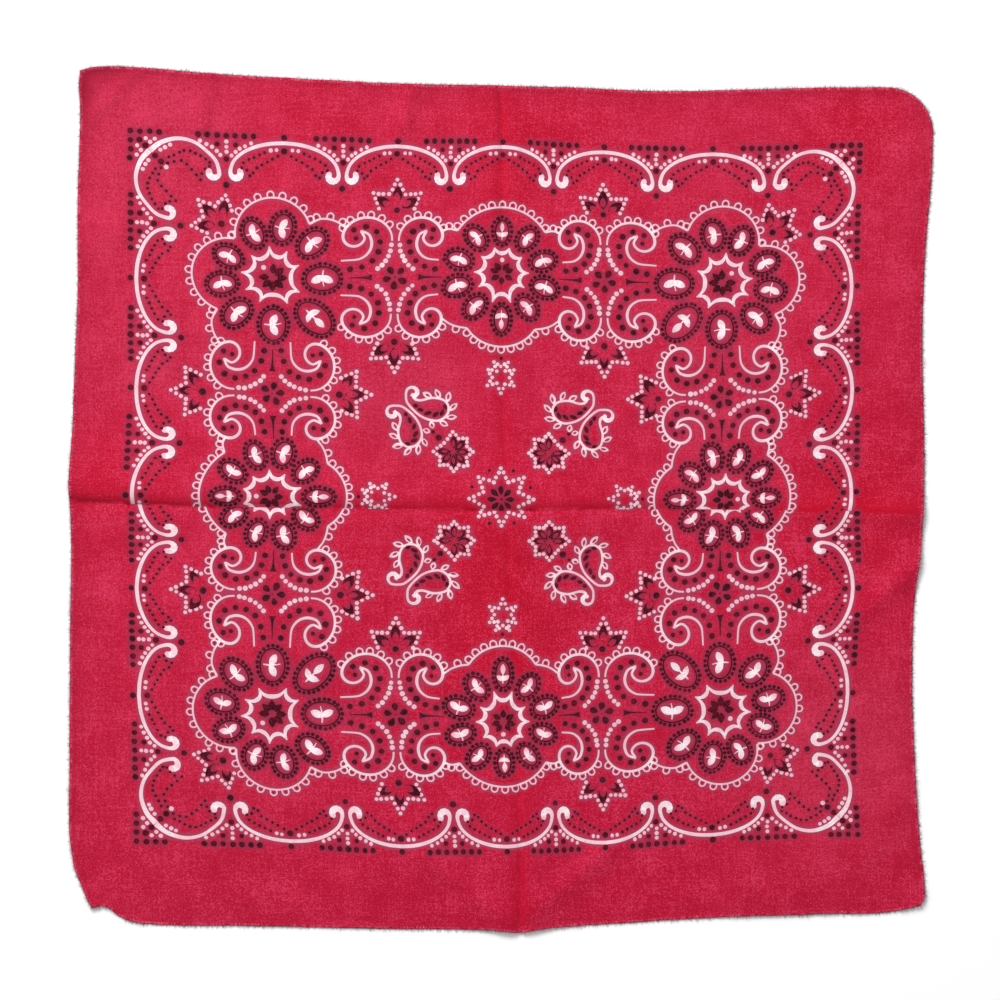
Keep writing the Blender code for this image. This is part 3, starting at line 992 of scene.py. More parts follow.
def closed_outline(edges):
    """The whole outline, clockwise, and the first station of each edge in it."""
    runs = [edge_stations(edge)[:-1] for edge in edges.values()]
    starts = np.cumsum([0] + [len(run) for run in runs])
    return np.vstack(runs), starts


def inside_ring(points, ring):
    """Which points lie inside a closed ring."""
    inside = np.zeros(len(points), bool)
    x, y = points.T
    for a, b in zip(ring, np.roll(ring, -1, axis=0)):
        crosses = (a[1] > y) != (b[1] > y)
        with np.errstate(divide="ignore", invalid="ignore"):
            at = a[0] + (b[0] - a[0]) * (y - a[1]) / (b[1] - a[1])
        inside ^= crosses & (x < at)
    return inside


def crease_points():
    """Rows of points along both creases and beside them."""
    along = np.arange(-GRID_HALF_SIDE, GRID_HALF_SIDE, GRID_STEP)
    level, upright = crease_at(LEVEL_CREASE, along)[0], crease_at(UPRIGHT_CREASE, along)[0]
    rows = []
    for offset in (0.0, *BESIDE_CREASE, *(-b for b in BESIDE_CREASE)):
        rows.append(np.column_stack((along, level + offset)))
        rows.append(np.column_stack((upright + offset, along)))
    return np.vstack(rows)


def grid_points(step):
    """An even grid that leaves room for the points beside the creases."""
    line = np.arange(-GRID_HALF_SIDE, GRID_HALF_SIDE, step)
    x, y = (axis.ravel() for axis in np.meshgrid(line, line))
    clear = BESIDE_CREASE[-1] + step / 2
    free = (np.abs(above_level(x, y)) > clear) & (np.abs(beside_upright(x, y)) > clear)
    return np.vstack((np.column_stack((x, y))[free], crease_points()))


def free_points(ring, step, taken=None):
    """Grid points well inside the ring, and clear of the taken ones."""
    points = grid_points(step)
    points = points[inside_ring(points, ring - outward_from(ring) * step * 0.5)]
    points = points[np.unique(cells_of(points), axis=0, return_index=True)[1]]
    if taken is None:
        return points
    used = {tuple(cell) for cell in cells_of(taken)}
    steps = (0, 0), (-1, 0), (1, 0), (0, -1), (0, 1)
    near = {(x + i, y + j) for x, y in used for i, j in steps}
    clear = np.array([tuple(cell) not in near for cell in cells_of(points)])
    return np.vstack((points[clear], np.array(sorted(near - used)) * CROWDED_CELL))


def cells_of(points):
    return np.round(points / CROWDED_CELL).astype(int)


def shoelace(ring):
    """Twice the ring's area, positive where it runs anticlockwise."""
    x, y = ring.T
    return (x * np.roll(y, -1) - np.roll(x, -1) * y).sum()


def triangulate(rings, free):
    """Triangles over all of the rings, and the rings that each triangle lies in."""
    points = np.vstack([*rings, free])
    faces, start = [], 0
    for ring in rings:
        face = list(range(start, start + len(ring)))
        faces.append(face if shoelace(ring) > 0 else face[::-1])
        start += len(ring)
    places = [Vector(point) for point in points]
    found = delaunay_2d_cdt(places, [], faces, INSIDE_FACES, MERGE_WITHIN)
    return np.array([tuple(point) for point in found[0]]), np.array(found[2]), found[5]


INK_RANK = {WHITE: 1, DARK: 2, BARE: 3}


def ink_indices(sources, inks):
    """Each triangle's material: 0 for the ground, 1 for white ink, 2 for dark ink."""
    ranks = [0] + [INK_RANK[ink] for ink in inks]
    return np.array([max((ranks[k] for k in found), default=0) % 3 for found in sources])


def lifted(flat, above):
    """Points that stand this far above the cloth's underside, and the normals there."""
    x, y = flat.T
    normals = relief_normals(x, y)
    return np.column_stack((x, y, relief(x, y))) + normals * above, normals


def shell(ring, print_rings, inks):
    """The cloth as one closed shell: points, normals, triangles, their inks and undersides."""
    top_free = free_points(ring, GRID_STEP, np.vstack(print_rings))
    top, top_faces, sources = triangulate([ring, *print_rings], top_free)
    under, under_faces, _ = triangulate([ring], free_points(ring, 2 * GRID_STEP))
    top_points, top_normals = lifted(top, CLOTH_THICKNESS)
    under_points, under_normals = lifted(under, 0.0)
    walls = []
    for b, a in enumerate(np.roll(np.arange(len(ring)), -1).tolist()):
        walls += [(b, a, a + len(top)), (b, a + len(top), b + len(top))]
    faces = np.vstack((top_faces, under_faces[:, ::-1] + len(top), walls))
    ink = np.zeros(len(faces), int)
    ink[:len(top_faces)] = ink_indices(sources, inks)
    points = np.vstack((top_points, under_points))
    under_face = np.zeros(len(faces), bool)
    under_face[len(top_faces):-len(walls)] = True
    return points, np.vstack((top_normals, -under_normals)), faces, ink, under_face


def blurred(grid, width):
    """The grid smoothed by a bell curve of this width in cells."""
    kernel = bell(np.arange(-3 * width, 3 * width + 1) / width)
    kernel /= kernel.sum()
    for axis in (0, 1):
        grid = np.apply_along_axis(np.convolve, axis, grid, kernel, "same")
    return grid


def ink_nearby(points, triangles, width):
    """The share of the cloth around each point that these triangles cover."""
    corners = points[triangles][:, :, :2]
    sides = corners[:, 1:] - corners[:, :1]
    areas = abs(sides[:, 0, 0] * sides[:, 1, 1] - sides[:, 0, 1] * sides[:, 1, 0]) / 2
    grid = np.zeros((INK_CELLS, INK_CELLS))
    np.add.at(grid, tuple(ink_cells(corners.mean(axis=1))), areas / INK_CELL**2)
    return blurred(grid, round(width / INK_CELL))[tuple(ink_cells(points[:, :2]))]


def ink_cells(flat):
    return (flat / INK_CELL + INK_CELLS / 2).astype(int).T


def distances_to(ring, flat):
    """How far each point is from the nearest station of a ring."""
    tree = KDTree(len(ring))
    for number, place in enumerate(ring):
        tree.insert((*place, 0.0), number)
    tree.balance()
    return np.array([tree.find((x, y, 0.0))[2] for x, y in flat.tolist()])


def crease_shade(flat):
    """How strong the painted shade is beside the two creases."""
    height = above_level(*flat.T)
    level = np.exp(-height / CREASE_SHADE_REACH) * (height > -CREASE_ITSELF)
    upright = UPRIGHT_SHADE * bell(beside_upright(*flat.T) / CREASE_SHADE_REACH)
    return np.maximum(level, upright)


def soiling(flat, inset):
    """How much darker the cloth is painted near its edges, and most at the far left corner, where
    it is painted shade of the curled corner.
    """
    corner = np.hypot(*(flat - SHADED_CORNER).T) / SHADED_CORNER_REACH
    return np.exp(-inset / DARKENING_REACH) * (DARKENING_LEAST + bell(corner))


def wear(flat):
    """How worn the cloth is, from about -1 to 1."""
    total = np.zeros(len(flat))
    for patch in WORN_PATCHES:
        distance = np.hypot(*(flat - (patch.x, patch.y)).T)
        total += patch.amount * bell(distance / patch.reach)
    return total


def evened(values, triangles):
    """Each value drawn halfway to the mean of its neighbours' in these triangles, twice."""
    sides = np.vstack((triangles[:, :2], triangles[:, 1:], triangles[:, ::2]))
    ends, others = np.vstack((sides, sides[:, ::-1])).T
    touching = np.maximum(np.bincount(ends, minlength=len(values)), 1)
    for _ in range(2):
        means = np.bincount(ends, values[others], len(values)) / touching
        values = np.where(means > 0, (values + means) / 2, values)
    return values


def mesh_object(name, points, faces, materials, indices=None, normals=None):
    """A smooth mesh object in metres from points in millimetres."""
    mesh = bpy.data.meshes.new(name)
    mesh.from_pydata((points * MM).tolist(), [], [list(face) for face in faces])
    for material in materials:
        mesh.materials.append(material)
    if indices is not None:
        mesh.polygons.foreach_set("material_index", indices)
    mesh.shade_smooth()
    if normals is not None:
        mesh.normals_split_custom_set_from_vertices(normals)
    obj = bpy.data.objects.new(name, mesh)
    bpy.context.scene.collection.objects.link(obj)
    return obj


def set_attributes(mesh, **named):
    for name, values in named.items():
        attribute = mesh.attributes.new(name, "FLOAT", "POINT")
        attribute.data.foreach_set("value", values.astype(np.float32))


UV_SIDE = 600.0  # mm: the square of cloth that the map takes in
UV_TOP, UV_UNDERSIDE = (0.0, 0.78), (0.80, 0.18)  # where each starts up the map, and its share


def lay_uv(mesh, points, under):
    """The cloth laid out flat as its own UV map, its underside squeezed in beyond the top."""
    corners = np.empty(len(mesh.loops), np.int32)
    mesh.loops.foreach_get("vertex_index", corners)
    flat = points[corners][:, :2] / UV_SIDE + 0.5
    shares = np.where(np.repeat(under, 3)[:, None], UV_UNDERSIDE, UV_TOP)
    flat[:, 1] = shares[:, 0] + flat[:, 1] * shares[:, 1]
    mesh.uv_layers.new(name="OFBake").data.foreach_set("uv", flat.ravel())


def make_cloth(ring, centre, materials):
    marks = whole_print()
    starts = np.cumsum([len(mark.points) for mark in marks])[:-1]
    charted = np.vstack([mark.points for mark in marks])
    rings, shifts = np.split(drifted(charted), starts), np.split(swallowed(charted), starts)
    print_rings, inks = [], []
    for number, (mark, whole, shift) in enumerate(zip(marks, rings, shifts)):
        pieces = creased(whole, shift, CREASE_CLEAR + CREASE_STAGGER * (number % STAGGERS))
        print_rings += pieces
        inks += [mark.ink] * len(pieces)
    points, normals, faces, ink, under = shell(ring, print_rings, inks)
    obj = mesh_object("cloth", points - (*centre, 0.0), faces, materials, ink, normals)
    lay_uv(obj.data, points, under)
    white, dark = (faces[ink == INK_RANK[name]] for name in (WHITE, DARK))
    flat = points[:, :2]
    set_attributes(
        obj.data,
        haze=ink_nearby(points, dark, HAZE_REACH),
        bloom=evened(ink_nearby(points, white, BLOOM_REACH), white),
        crease=crease_shade(flat),
        wear=wear(flat),
        soil=soiling(flat, distances_to(ring, flat) + CLOTH_INSET),
    )
    return obj


# ---- hems, stitches and loose fibres ----

# Across the folded hem: how far in from the edge, and how high above the table
HEM_PROFILE = (
    (0.6, 0.08), (0.35, 0.36), (0.5, 0.64), (0.9, 0.82), (1.6, 0.86), (2.6, 0.78),
    (3.6, 0.64), (4.6, 0.50), (5.4, 0.36), (5.0, 0.15), (2.0, 0.0),
)
HEM_PUCKER = 0.10  # how much its height varies, as a share
HEM_WOBBLE = 0.22  # how far its edge wanders
HEM_SHARP = 50  # degrees between two faces that meet in a sharp fold
STITCH_STEP = 2.1
STITCH_SIDES = 6
STITCH_RADIUS = 0.19
STITCH_TOP = 0.84  # above the table at its inner end, and lower at the hem's edge
STITCH_DROP = 0.25
STITCH_FORM = (  # share of its length, of its radius, and rise
    (0, 0.3, -0.1), (0.18, 0.9, 0.08), (0.5, 1, 0.14), (0.82, 0.9, 0.08), (1, 0.3, -0.1),
)
STITCH_MEAN = (0.50, 0.05, 2.3)  # half its lean, where it starts and where it ends
STITCH_SPREAD = (0.10, 0.10, 0.18)
FIBRE_STEP = 0.12
FIBRE_LENGTH = (3.0, 0.65)  # shape and scale of a gamma spread
FIBRE_LONGEST = 4.5
FIBRE_TURN = 0.9  # radians, the spread about straight out
FIBRE_SCATTER = 0.4  # along the edge
FIBRE_ROOT = 0.7  # how far in from the edge a fibre starts
FIBRE_FOOT = (0.1, 0.8)  # its foot's height above the cloth, from and to
FIBRE_RISE = (-0.05, 0.3)  # and its tip's above its foot
FIBRE_THICKNESS = 0.1
FIBRE_HALF = 0.08  # half its width
FIBRE_LEAST = 0.05  # its tip's height above the table


def tube_faces(count, around):
    """Faces of a closed tube of so many rows, each of so many points."""
    faces = []
    for i in range(count - 1):
        for k in range(around):
            a, b = i * around + k, i * around + (k + 1) % around
            faces.append((a, b, b + around, a + around))
    last = (count - 1) * around
    return faces + [tuple(range(around))[::-1], tuple(range(last, last + around))]


def smooth_noise(random, count, wavelength):
    """Seeded values from -1 to 1 that change gently over this many places."""
    knots = random.uniform(-1, 1, count // wavelength + 3)
    return np.interp(np.arange(count) / wavelength, np.arange(len(knots)), knots)


def make_hem(name, outline, outwards, first, last, centre, material, random):
    """The folded hem along the outline's stations from first to last."""
    places = np.arange(first, last + 1) % len(outline)
    base, away = outline[places], outwards[places]
    count = len(places)
    pucker = 1 + HEM_PUCKER * smooth_noise(random, count, 2)
    wobble = HEM_WOBBLE * smooth_noise(random, count, 3)
    wobble[[0, -1]] = 0
    columns = []
    for inset, height in HEM_PROFILE:
        own = base - away * (inset - wobble)[:, None]
        columns.append(np.column_stack((own, relief(*own.T) + height * pucker)))
    points = np.stack(columns, axis=1).reshape(-1, 3)
    faces = tube_faces(count, len(HEM_PROFILE))
    obj = mesh_object(name, points - (*centre, 0.0), faces, [material])
    obj.data.set_sharp_from_angle(angle=math.radians(HEM_SHARP))
    insets = np.tile([inset for inset, _ in HEM_PROFILE], count)
    flat = points[:, :2]
    # darker near the edge, and painted shade at the far left corner
    set_attributes(obj.data, inset=insets, soil=soiling(flat, insets), wear=wear(flat))
    return obj


def along_outline(outline, step):
    """Even places along the closed outline, with the ways ahead and inward at each."""
    closed = np.vstack((outline, outline[:1]))
    reach = reach_along(closed)
    at = np.linspace(0, reach[-1], round(reach[-1] / step), endpoint=False)
    places = read_along(closed, reach, at)
    along = np.roll(places, -1, axis=0) - np.roll(places, 1, axis=0)
    along /= sizes(along)
    return places, along, np.column_stack((along[:, 1], -along[:, 0]))


def capsule(start, end):
    """A stitch from start to end, thin at both ends: its points and faces."""
    line = end - start
    side = np.cross(line, (0, 0, 1.0))
    side /= np.linalg.norm(side)
    up = np.cross(side, line)
    up /= np.linalg.norm(up)
    angles = np.arange(STITCH_SIDES) * math.tau / STITCH_SIDES
    circle = np.outer(np.cos(angles), side) + np.outer(np.sin(angles), up)
    rows = [
        start + line * share + circle * STITCH_RADIUS * thick + (0, 0, rise)
        for share, thick, rise in STITCH_FORM
    ]
    return np.vstack(rows), tube_faces(len(rows), STITCH_SIDES)


def make_stitches(outline, centre, material, random):
    """The overlocking thread that slants across the hem all round."""
    places, along, inward = along_outline(outline, STITCH_STEP)
    points, faces = [], []
    for place, ahead, inner in zip(places, along, inward):
        lean, near, far = random.normal(STITCH_MEAN, STITCH_SPREAD)
        start, end = place + inner * near - ahead * lean, place + inner * far + ahead * lean
        heights = STITCH_TOP - STITCH_DROP, STITCH_TOP
        ends = [np.array((*p, relief(*p) + height)) for p, height in zip((start, end), heights)]
        own, own_faces = capsule(*ends)
        faces += [tuple(k + len(points) * len(own) for k in face) for face in own_faces]
        points.append(own)
    return mesh_object("hem_stitches", np.vstack(points) - (*centre, 0.0), faces, [material])


def make_fibres(outline, centre, material, random):
    """Short loose fibres that stand out from the edge."""
    places, along, inward = along_outline(outline, FIBRE_STEP)
    count = len(places)
    length = np.minimum(random.gamma(*FIBRE_LENGTH, count), FIBRE_LONGEST)[:, None]
    turn = random.normal(0, FIBRE_TURN, count)[:, None]
    reach = (-inward * np.cos(turn) + along * np.sin(turn)) * length
    scatter = random.normal(0, FIBRE_SCATTER, count)[:, None]
    base = places + inward * FIBRE_ROOT + along * scatter
    low = relief(*base.T) + random.uniform(*FIBRE_FOOT, count)
    tip = np.column_stack((base + reach, low + random.uniform(*FIBRE_RISE, count)))
    tip[:, 2] = np.maximum(tip[:, 2], FIBRE_LEAST)
    side = np.column_stack((along * FIBRE_HALF, np.zeros(count)))
    foot = np.column_stack((base, low))
    corners = (foot - side, foot + side, foot + (0, 0, FIBRE_THICKNESS), tip)
    points = np.stack(corners, axis=1).reshape(-1, 3) - (*centre, 0.0)
    sides = ((0, 2, 1), (0, 1, 3), (1, 2, 3), (2, 0, 3))
    faces = [tuple(4 * k + corner for corner in side) for k in range(count) for side in sides]
    return mesh_object("edge_fibres", points, faces, [material])


# ---- materials ----

YARN_PERIOD = 0.0006  # metres
WAVE_PERIOD_AT_SCALE_1 = math.tau / 20

# Scales of noise
SLUBS = 900.0  # the yarns' thick places
GRAIN = 1100.0
FLECKS = 1300.0  # stray pale fibres
CLOUDS = 45.0
CRUSH = 26.0
DYE_RUN = 7.0
RUBS = 420.0  # on the hem
RIM_PATCHES = 360.0
FIBRE_PATCHES = 300.0
FUZZ = 4000.0
THREAD_PATCHES = 260.0
THREAD_TWIST = 900.0
FLOOR_CLOUDS = 3.0

CLOTH_SPECULAR = 0.08
CLOTH_SHEEN = 0.05
CLOTH_SHEEN_ROUGHNESS = 0.45
RED = (0.492, 0.0058, 0.036)
RED_DEEP = (0.405, 0.0034, 0.027)
# Deep red of the unworn dye, also used for the painted shade beside the creases
RED_UNWORN_AND_SHADED = (0.480, 0.0016, 0.018)
PINK = (0.78, 0.14, 0.22)
EDGE_DARK = (0.17, 0.035, 0.080)
THREAD_DYE = (0.16, 0.012, 0.040)
PINK_DYE = (0.85, 0.42, 0.51)
DARK_DYE = (0.080, 0.0014, 0.0066)

# A colour laid over another, from nothing where a value is at low to most of it at high
Tint = namedtuple("Tint", "colour low high most")
# Painted light: paler towards the far left, and paler at the corners
FADED_AND_LIT = Tint((0.505, 0.0190, 0.057), 0.0, 0.7, 1.0)
# Painted shade: darker towards the near side
NEAR_SIDE_SHADE = Tint(RED_DEEP, 0.22, 0.56, 0.65)
WORN = Tint((0.500, 0.0290, 0.074), 0.0, 1.0, 0.8)
UNWORN = Tint(RED_UNWORN_AND_SHADED, 0.0, -1.0, 0.9)
DEEP_SPOTS = Tint(RED_DEEP, 0.50, 0.38, 0.85)
PALE_SPOTS = Tint((0.625, 0.034, 0.096), 0.50, 0.62, 1.0)
PALE_FLECKS = Tint(PINK, 0.64, 0.78, 0.6)
# Painted shade: deeper, darker red beside the creases
CREASE_SHADE = Tint(RED_UNWORN_AND_SHADED, 0.0, 1.0, 0.9)
# Darker near the edges, and painted shade at the curled far left corner
DARK_EDGES_AND_CORNER_SHADE = Tint((0.285, 0.0070, 0.028), 0.04, 0.90, 0.75)
DARK_HAZE = Tint((0.27, 0.026, 0.066), 0.04, 0.32, 0.80)
WHITE_HAZE = Tint((0.33, 0.048, 0.100), 0.06, 0.30, 0.80)
CLEAR_WHITE = Tint((0.91, 0.80, 0.84), 0.38, 0.70, 1.0)
THIN_WHITE = Tint((0.80, 0.34, 0.42), 0.50, 0.66, 0.8)
DENSE_DARK = Tint((0.030, 0.0022, 0.0060), 0.34, 0.50, 1.0)
THIN_DARK = Tint((0.190, 0.007, 0.024), 0.44, 0.64, 0.9)
PALE_FIBRE = Tint((0.60, 0.19, 0.29), 0.34, 0.52, 1.0)
PALE_THREAD = Tint((0.70, 0.20, 0.30), 0.42, 0.66, 1.0)


class Graph:
    """A material's nodes, added one at a time."""

    def __init__(self, name):
        self.material = bpy.data.materials.new(name)
        self.material.use_nodes = True
        self.tree = self.material.node_tree
        self.surface = self.tree.nodes["Principled BSDF"]
        self.place = self.add("TexCoord", out=3)

    def add(self, kind, inputs=None, out=0, **settings):
        """A new node's output, its inputs set or linked by name or number."""
        made = self.tree.nodes.new("ShaderNode" + kind)
        for name, value in settings.items():
            setattr(made, name, value)
        for socket, value in (inputs or {}).items():
            self.put(made.inputs[socket], value)
        return made.outputs[out]

    def put(self, socket, value):
        if isinstance(value, bpy.types.NodeSocket):
            self.tree.links.new(value, socket)
        else:
            socket.default_value = value

    def plus(self, first, second):
        return self.add("Math", {0: first, 1: second}, operation="ADD")

    def minus(self, first, second):
        return self.add("Math", {0: first, 1: second}, operation="SUBTRACT")

    def times(self, first, second):
        return self.add("Math", {0: first, 1: second}, operation="MULTIPLY")

    def attribute(self, name):
        return self.add("Attribute", out=2, attribute_name=name)

    def mix(self, factor, first, second):
        """A colour between two, each a socket or three numbers."""
        given = {0: factor}
        for socket, colour in ((6, first), (7, second)):
            given[socket] = (*colour, 1.0) if isinstance(colour, tuple) else colour
        return self.add("Mix", given, out=2, data_type="RGBA")

    def noise(self, scale, detail=2.0, stretch=(1.0, 1.0, 1.0)):
        vector = self.add("Mapping", {"Vector": self.place, "Scale": stretch})
        return self.add("TexNoise", {"Vector": vector, "Scale": scale, "Detail": detail})

    def ramp(self, value, low, high, to_low=0.0, to_high=1.0):
        """The value carried from one range to another, and held inside it."""
        ends = {"From Min": low, "From Max": high, "To Min": to_low, "To Max": to_high}
        return self.add("MapRange", {"Value": value, **ends})

    def tinted(self, colour, value, tint):
        share = self.ramp(value, tint.low, tint.high, 0.0, tint.most)
        return self.mix(share, colour, tint.colour)

    def bump(self, height, strength, distance, **under):
        inputs = {"Height": height, "Strength": strength, "Distance": distance, **under}
        return self.add("Bump", inputs)

    def surface_of(self, colour, normal, roughness):
        self.put(self.surface.inputs["Base Color"], colour)
        self.put(self.surface.inputs["Normal"], normal)
        self.surface.inputs["Roughness"].default_value = roughness
        self.surface.inputs["Specular IOR Level"].default_value = CLOTH_SPECULAR
        self.surface.inputs["Sheen Weight"].default_value = CLOTH_SHEEN
        self.surface.inputs["Sheen Roughness"].default_value = CLOTH_SHEEN_ROUGHNESS
        return self.material


def yarn_band(graph, direction):
    """One set of yarns, -0.5 to 0.5."""
    scale = WAVE_PERIOD_AT_SCALE_1 / YARN_PERIOD
    wave = {"Vector": graph.place, "Scale": scale, "Distortion": 0.4, "Detail": 1.0}
    return graph.minus(graph.add("TexWave", wave, out=1, bands_direction=direction), 0.5)


def weave_normal(graph):
    """Plain weave, uneven yarns and the soft crush of cloth that was folded away."""
    weave = graph.times(yarn_band(graph, "X"), yarn_band(graph, "Y"))
    slubs = [graph.noise(SLUBS, 1.0, stretch) for stretch in ((1.0, 0.05, 1.0), (0.05, 1.0, 1.0))]
    fine = graph.plus(weave, graph.times(graph.plus(*slubs), 0.8))
    yarns = graph.bump(fine, strength=0.6, distance=0.00016)
    crush = graph.noise(CRUSH, 3.0, (1.0, 0.75, 1.0))
    return graph.bump(crush, strength=0.5, distance=0.0016, Normal=yarns)


MOTTLE_PARTS = (  # share, scale, detail and stretch: grain, streaks along the yarns and clouds
    (0.50, GRAIN, 1.0, (1.0, 1.0, 1.0)),
    (0.13, SLUBS, 1.0, (1.0, 0.07, 1.0)),
    (0.13, SLUBS, 1.0, (0.07, 1.0, 1.0)),
    (0.24, CLOUDS, 4.0, (1.0, 1.0, 1.0)),
)


def mottle(graph):
    """How the dye took, 0.5 on average."""
    total = 0.0
    for share, scale, detail, stretch in MOTTLE_PARTS:
        total = graph.plus(graph.times(graph.noise(scale, detail, stretch), share), total)
    return total


def dye_run_with_painted_light_and_shade(graph):
    """The broad run of the dye, with painted light and shade: paler at the far left as painted
    light and paler at the corners, darker on the near side as painted shade.
    """
    axes = graph.tree.nodes.new("ShaderNodeSeparateXYZ")
    graph.put(axes.inputs[0], graph.place)
    x, y = axes.outputs[0], axes.outputs[1]
    uneven = graph.times(graph.noise(DYE_RUN), 0.4)
    across = graph.minus(graph.times(y, 0.8), graph.times(x, 0.5))
    corners = graph.add("Math", {0: graph.times(x, y)}, operation="ABSOLUTE")
    across = graph.plus(across, graph.times(corners, 3.5))
    # painted light towards the far left, paler corners, and uneven dye
    ground = graph.tinted(RED, graph.plus(across, uneven), FADED_AND_LIT)
    # painted shade towards the near side, broken by the uneven dye
    return graph.tinted(ground, graph.minus(uneven, y), NEAR_SIDE_SHADE)


def ground_colour(graph):
    """Red dye, worn and unworn and mottled, under painted light and shade across the cloth;
    painted shade beside the creases, and darker near its edges with painted shade at the far left
    corner.
    """
    worn, dye = graph.attribute("wear"), mottle(graph)
    ground = graph.tinted(dye_run_with_painted_light_and_shade(graph), worn, WORN)
    ground = graph.tinted(ground, worn, UNWORN)
    ground = graph.tinted(ground, dye, DEEP_SPOTS)
    ground = graph.tinted(ground, dye, PALE_SPOTS)
    ground = graph.tinted(ground, graph.noise(FLECKS, 1.0), PALE_FLECKS)
    # painted shade beside the creases
    ground = graph.tinted(ground, graph.attribute("crease"), CREASE_SHADE)
    # darker near the edges, and painted shade at the far left corner
    return graph.tinted(ground, graph.attribute("soil"), DARK_EDGES_AND_CORNER_SHADE)


def cloth_material():
    """The dyed ground, drab where the print's dyes have bled into it."""
    graph = Graph("cloth")
    ground = graph.tinted(ground_colour(graph), graph.attribute("haze"), DARK_HAZE)
    ground = graph.tinted(ground, graph.attribute("bloom"), WHITE_HAZE)
    return graph.surface_of(ground, weave_normal(graph), roughness=0.9)


def white_ink_material():
    """Bare cotton where the dye was taken out: clear in broad strokes, pink in thin ones."""
    graph = Graph("white_ink")
    colour = graph.tinted(PINK_DYE, graph.attribute("bloom"), CLEAR_WHITE)
    colour = graph.tinted(colour, mottle(graph), THIN_WHITE)
    return graph.surface_of(colour, weave_normal(graph), roughness=0.88)


def dark_ink_material():
    """Dark dye that lies on the yarns, thin where they dip."""
    graph = Graph("dark_ink")
    colour = graph.tinted(DARK_DYE, graph.attribute("haze"), DENSE_DARK)
    colour = graph.tinted(colour, mottle(graph), THIN_DARK)
    return graph.surface_of(colour, weave_normal(graph), roughness=0.86)


def hem_material():
    """The folded edge: drab and broken at its very rim, rubbed pale along its ridge."""
    graph = Graph("hem")
    inset = graph.attribute("inset")
    rubbed = graph.times(graph.ramp(inset, 0.4, 0.9), graph.ramp(inset, 2.4, 1.4))
    broken = graph.ramp(graph.noise(RUBS), 0.44, 0.62, 0.0, 0.40)
    colour = graph.mix(graph.times(rubbed, broken), ground_colour(graph), PINK)
    patchy = graph.ramp(graph.noise(RIM_PATCHES), 0.36, 0.56, 1.0, 0.25)
    rim = graph.times(graph.ramp(inset, 0.8, 0.2), patchy)
    colour = graph.mix(rim, colour, EDGE_DARK)
    return graph.surface_of(colour, weave_normal(graph), roughness=0.9)


def fibre_material():
    """Loose ends of yarn, paler where they have lost their dye."""
    graph = Graph("fibre")
    colour = graph.tinted(EDGE_DARK, graph.noise(FIBRE_PATCHES), PALE_FIBRE)
    fuzz = graph.bump(graph.noise(FUZZ), strength=0.3, distance=0.0001)
    return graph.surface_of(colour, fuzz, roughness=0.9)


def thread_material():
    """Twisted sewing thread, its dye rubbed off in places."""
    graph = Graph("thread")
    wave = {"Vector": graph.place, "Scale": THREAD_TWIST, "Distortion": 1.0}
    twist = graph.add("TexWave", wave, out=1, bands_direction="DIAGONAL")
    normal = graph.bump(twist, strength=0.4, distance=0.0001)
    colour = graph.tinted(THREAD_DYE, graph.noise(THREAD_PATCHES), PALE_THREAD)
    return graph.surface_of(colour, normal, roughness=0.7)


def floor_material():
    graph = Graph("floor")
    colour = graph.mix(graph.noise(FLOOR_CLOUDS), (0.97, 0.97, 0.97), (0.99, 0.99, 0.99))
    graph.put(graph.surface.inputs["Base Color"], colour)
    graph.surface.inputs["Roughness"].default_value = 0.9
    graph.surface.inputs["Specular IOR Level"].default_value = 0.1
    return graph.material


# ---- the studio ----

CAMERA_HEIGHT = 1.9
FIELD = 0.650  # the width of floor that the picture takes in
VIEW_CENTRE = (-0.00065, -0.00036)
FLOOR_HALF = 4.0
SKY_STRENGTH = 0.50
LIGHTS = (  # name, place, size and power
    ("key", (-1.4, 2.5, 2.1), (1.8, 1.2), 134.0),
    ("fill", (0.6, -2.2, 2.4), (2.4, 2.0), 8.0),
)


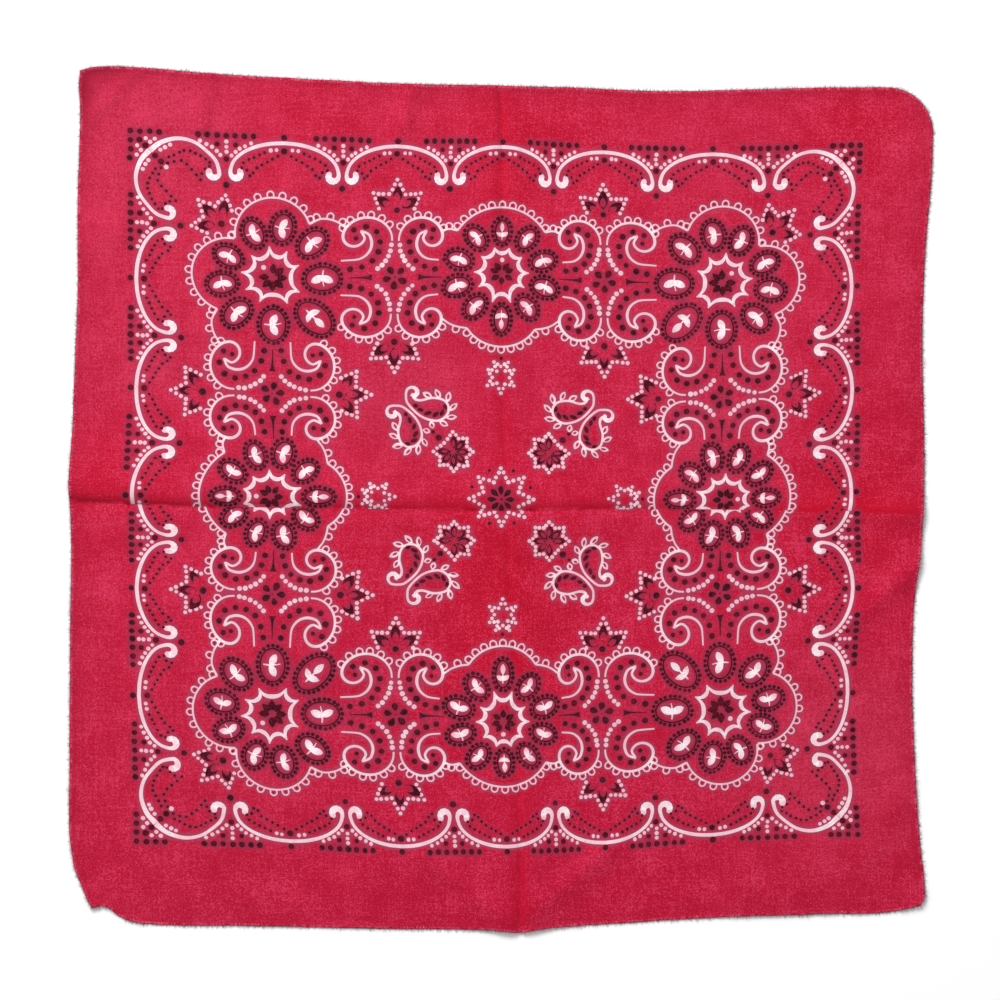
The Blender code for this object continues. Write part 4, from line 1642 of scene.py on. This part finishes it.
def make_floor():
    mesh = bpy.data.meshes.new("floor")
    signs = (-1, -1), (1, -1), (1, 1), (-1, 1)
    mesh.from_pydata([(x * FLOOR_HALF, y * FLOOR_HALF, 0) for x, y in signs], [], [(0, 1, 2, 3)])
    mesh.materials.append(floor_material())
    floor = bpy.data.objects.new("floor", mesh)
    bpy.context.scene.collection.objects.link(floor)


def add_area_light(name, place, size, power):
    """A light at this place that faces the middle of the cloth."""
    light = bpy.data.lights.new(name, "AREA")
    light.shape = "RECTANGLE"
    light.size, light.size_y = size
    light.energy = power
    obj = bpy.data.objects.new(name, light)
    obj.location = place
    obj.rotation_euler = (-Vector(place)).to_track_quat("-Z", "Y").to_euler()
    bpy.context.scene.collection.objects.link(obj)


def light_studio():
    for light in LIGHTS:
        add_area_light(*light)
    world = bpy.data.worlds.new("studio")
    world.use_nodes = True
    background = world.node_tree.nodes["Background"]
    background.inputs["Color"].default_value = (1.0, 1.0, 1.0, 1.0)
    background.inputs["Strength"].default_value = SKY_STRENGTH
    bpy.context.scene.world = world
    bpy.context.scene.view_settings.view_transform = "Standard"


def set_camera():
    camera = bpy.data.cameras.new("camera")
    camera.angle = 2 * math.atan(FIELD / 2 / CAMERA_HEIGHT)
    camera.clip_end = 50.0
    obj = bpy.data.objects.new("camera", camera)
    obj.location = (*VIEW_CENTRE, CAMERA_HEIGHT)
    bpy.context.scene.collection.objects.link(obj)
    bpy.context.scene.camera = obj


# ---- the bandana ----

def dress(obj, node):
    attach(obj, "root")
    if node:
        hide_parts(node)


def make_bandana():
    random = np.random.default_rng(SEED)
    edges = laid_edges()
    centre = outline_centre(edges)
    outline, starts = closed_outline(edges)
    outwards = outward_from(outline)
    ring = outline - outwards * CLOTH_INSET
    dyes = [cloth_material(), white_ink_material(), dark_ink_material()]
    cloth = make_cloth(ring, centre, dyes)
    dress(cloth, "cloth_panel")
    hem_finish, thread_finish = hem_material(), thread_material()
    for name, first, last in zip(edges, starts, starts[1:]):
        hem = make_hem(f"{name}_hem", outline, outwards, first, last, centre, hem_finish, random)
        dress(hem, f"hem_{name}")
    stitches = make_stitches(outline, centre, thread_finish, random)
    dress(stitches, None)
    fibres = make_fibres(outline, centre, fibre_material(), random)
    dress(fibres, None)


set_camera()
make_floor()
light_studio()
make_bandana()
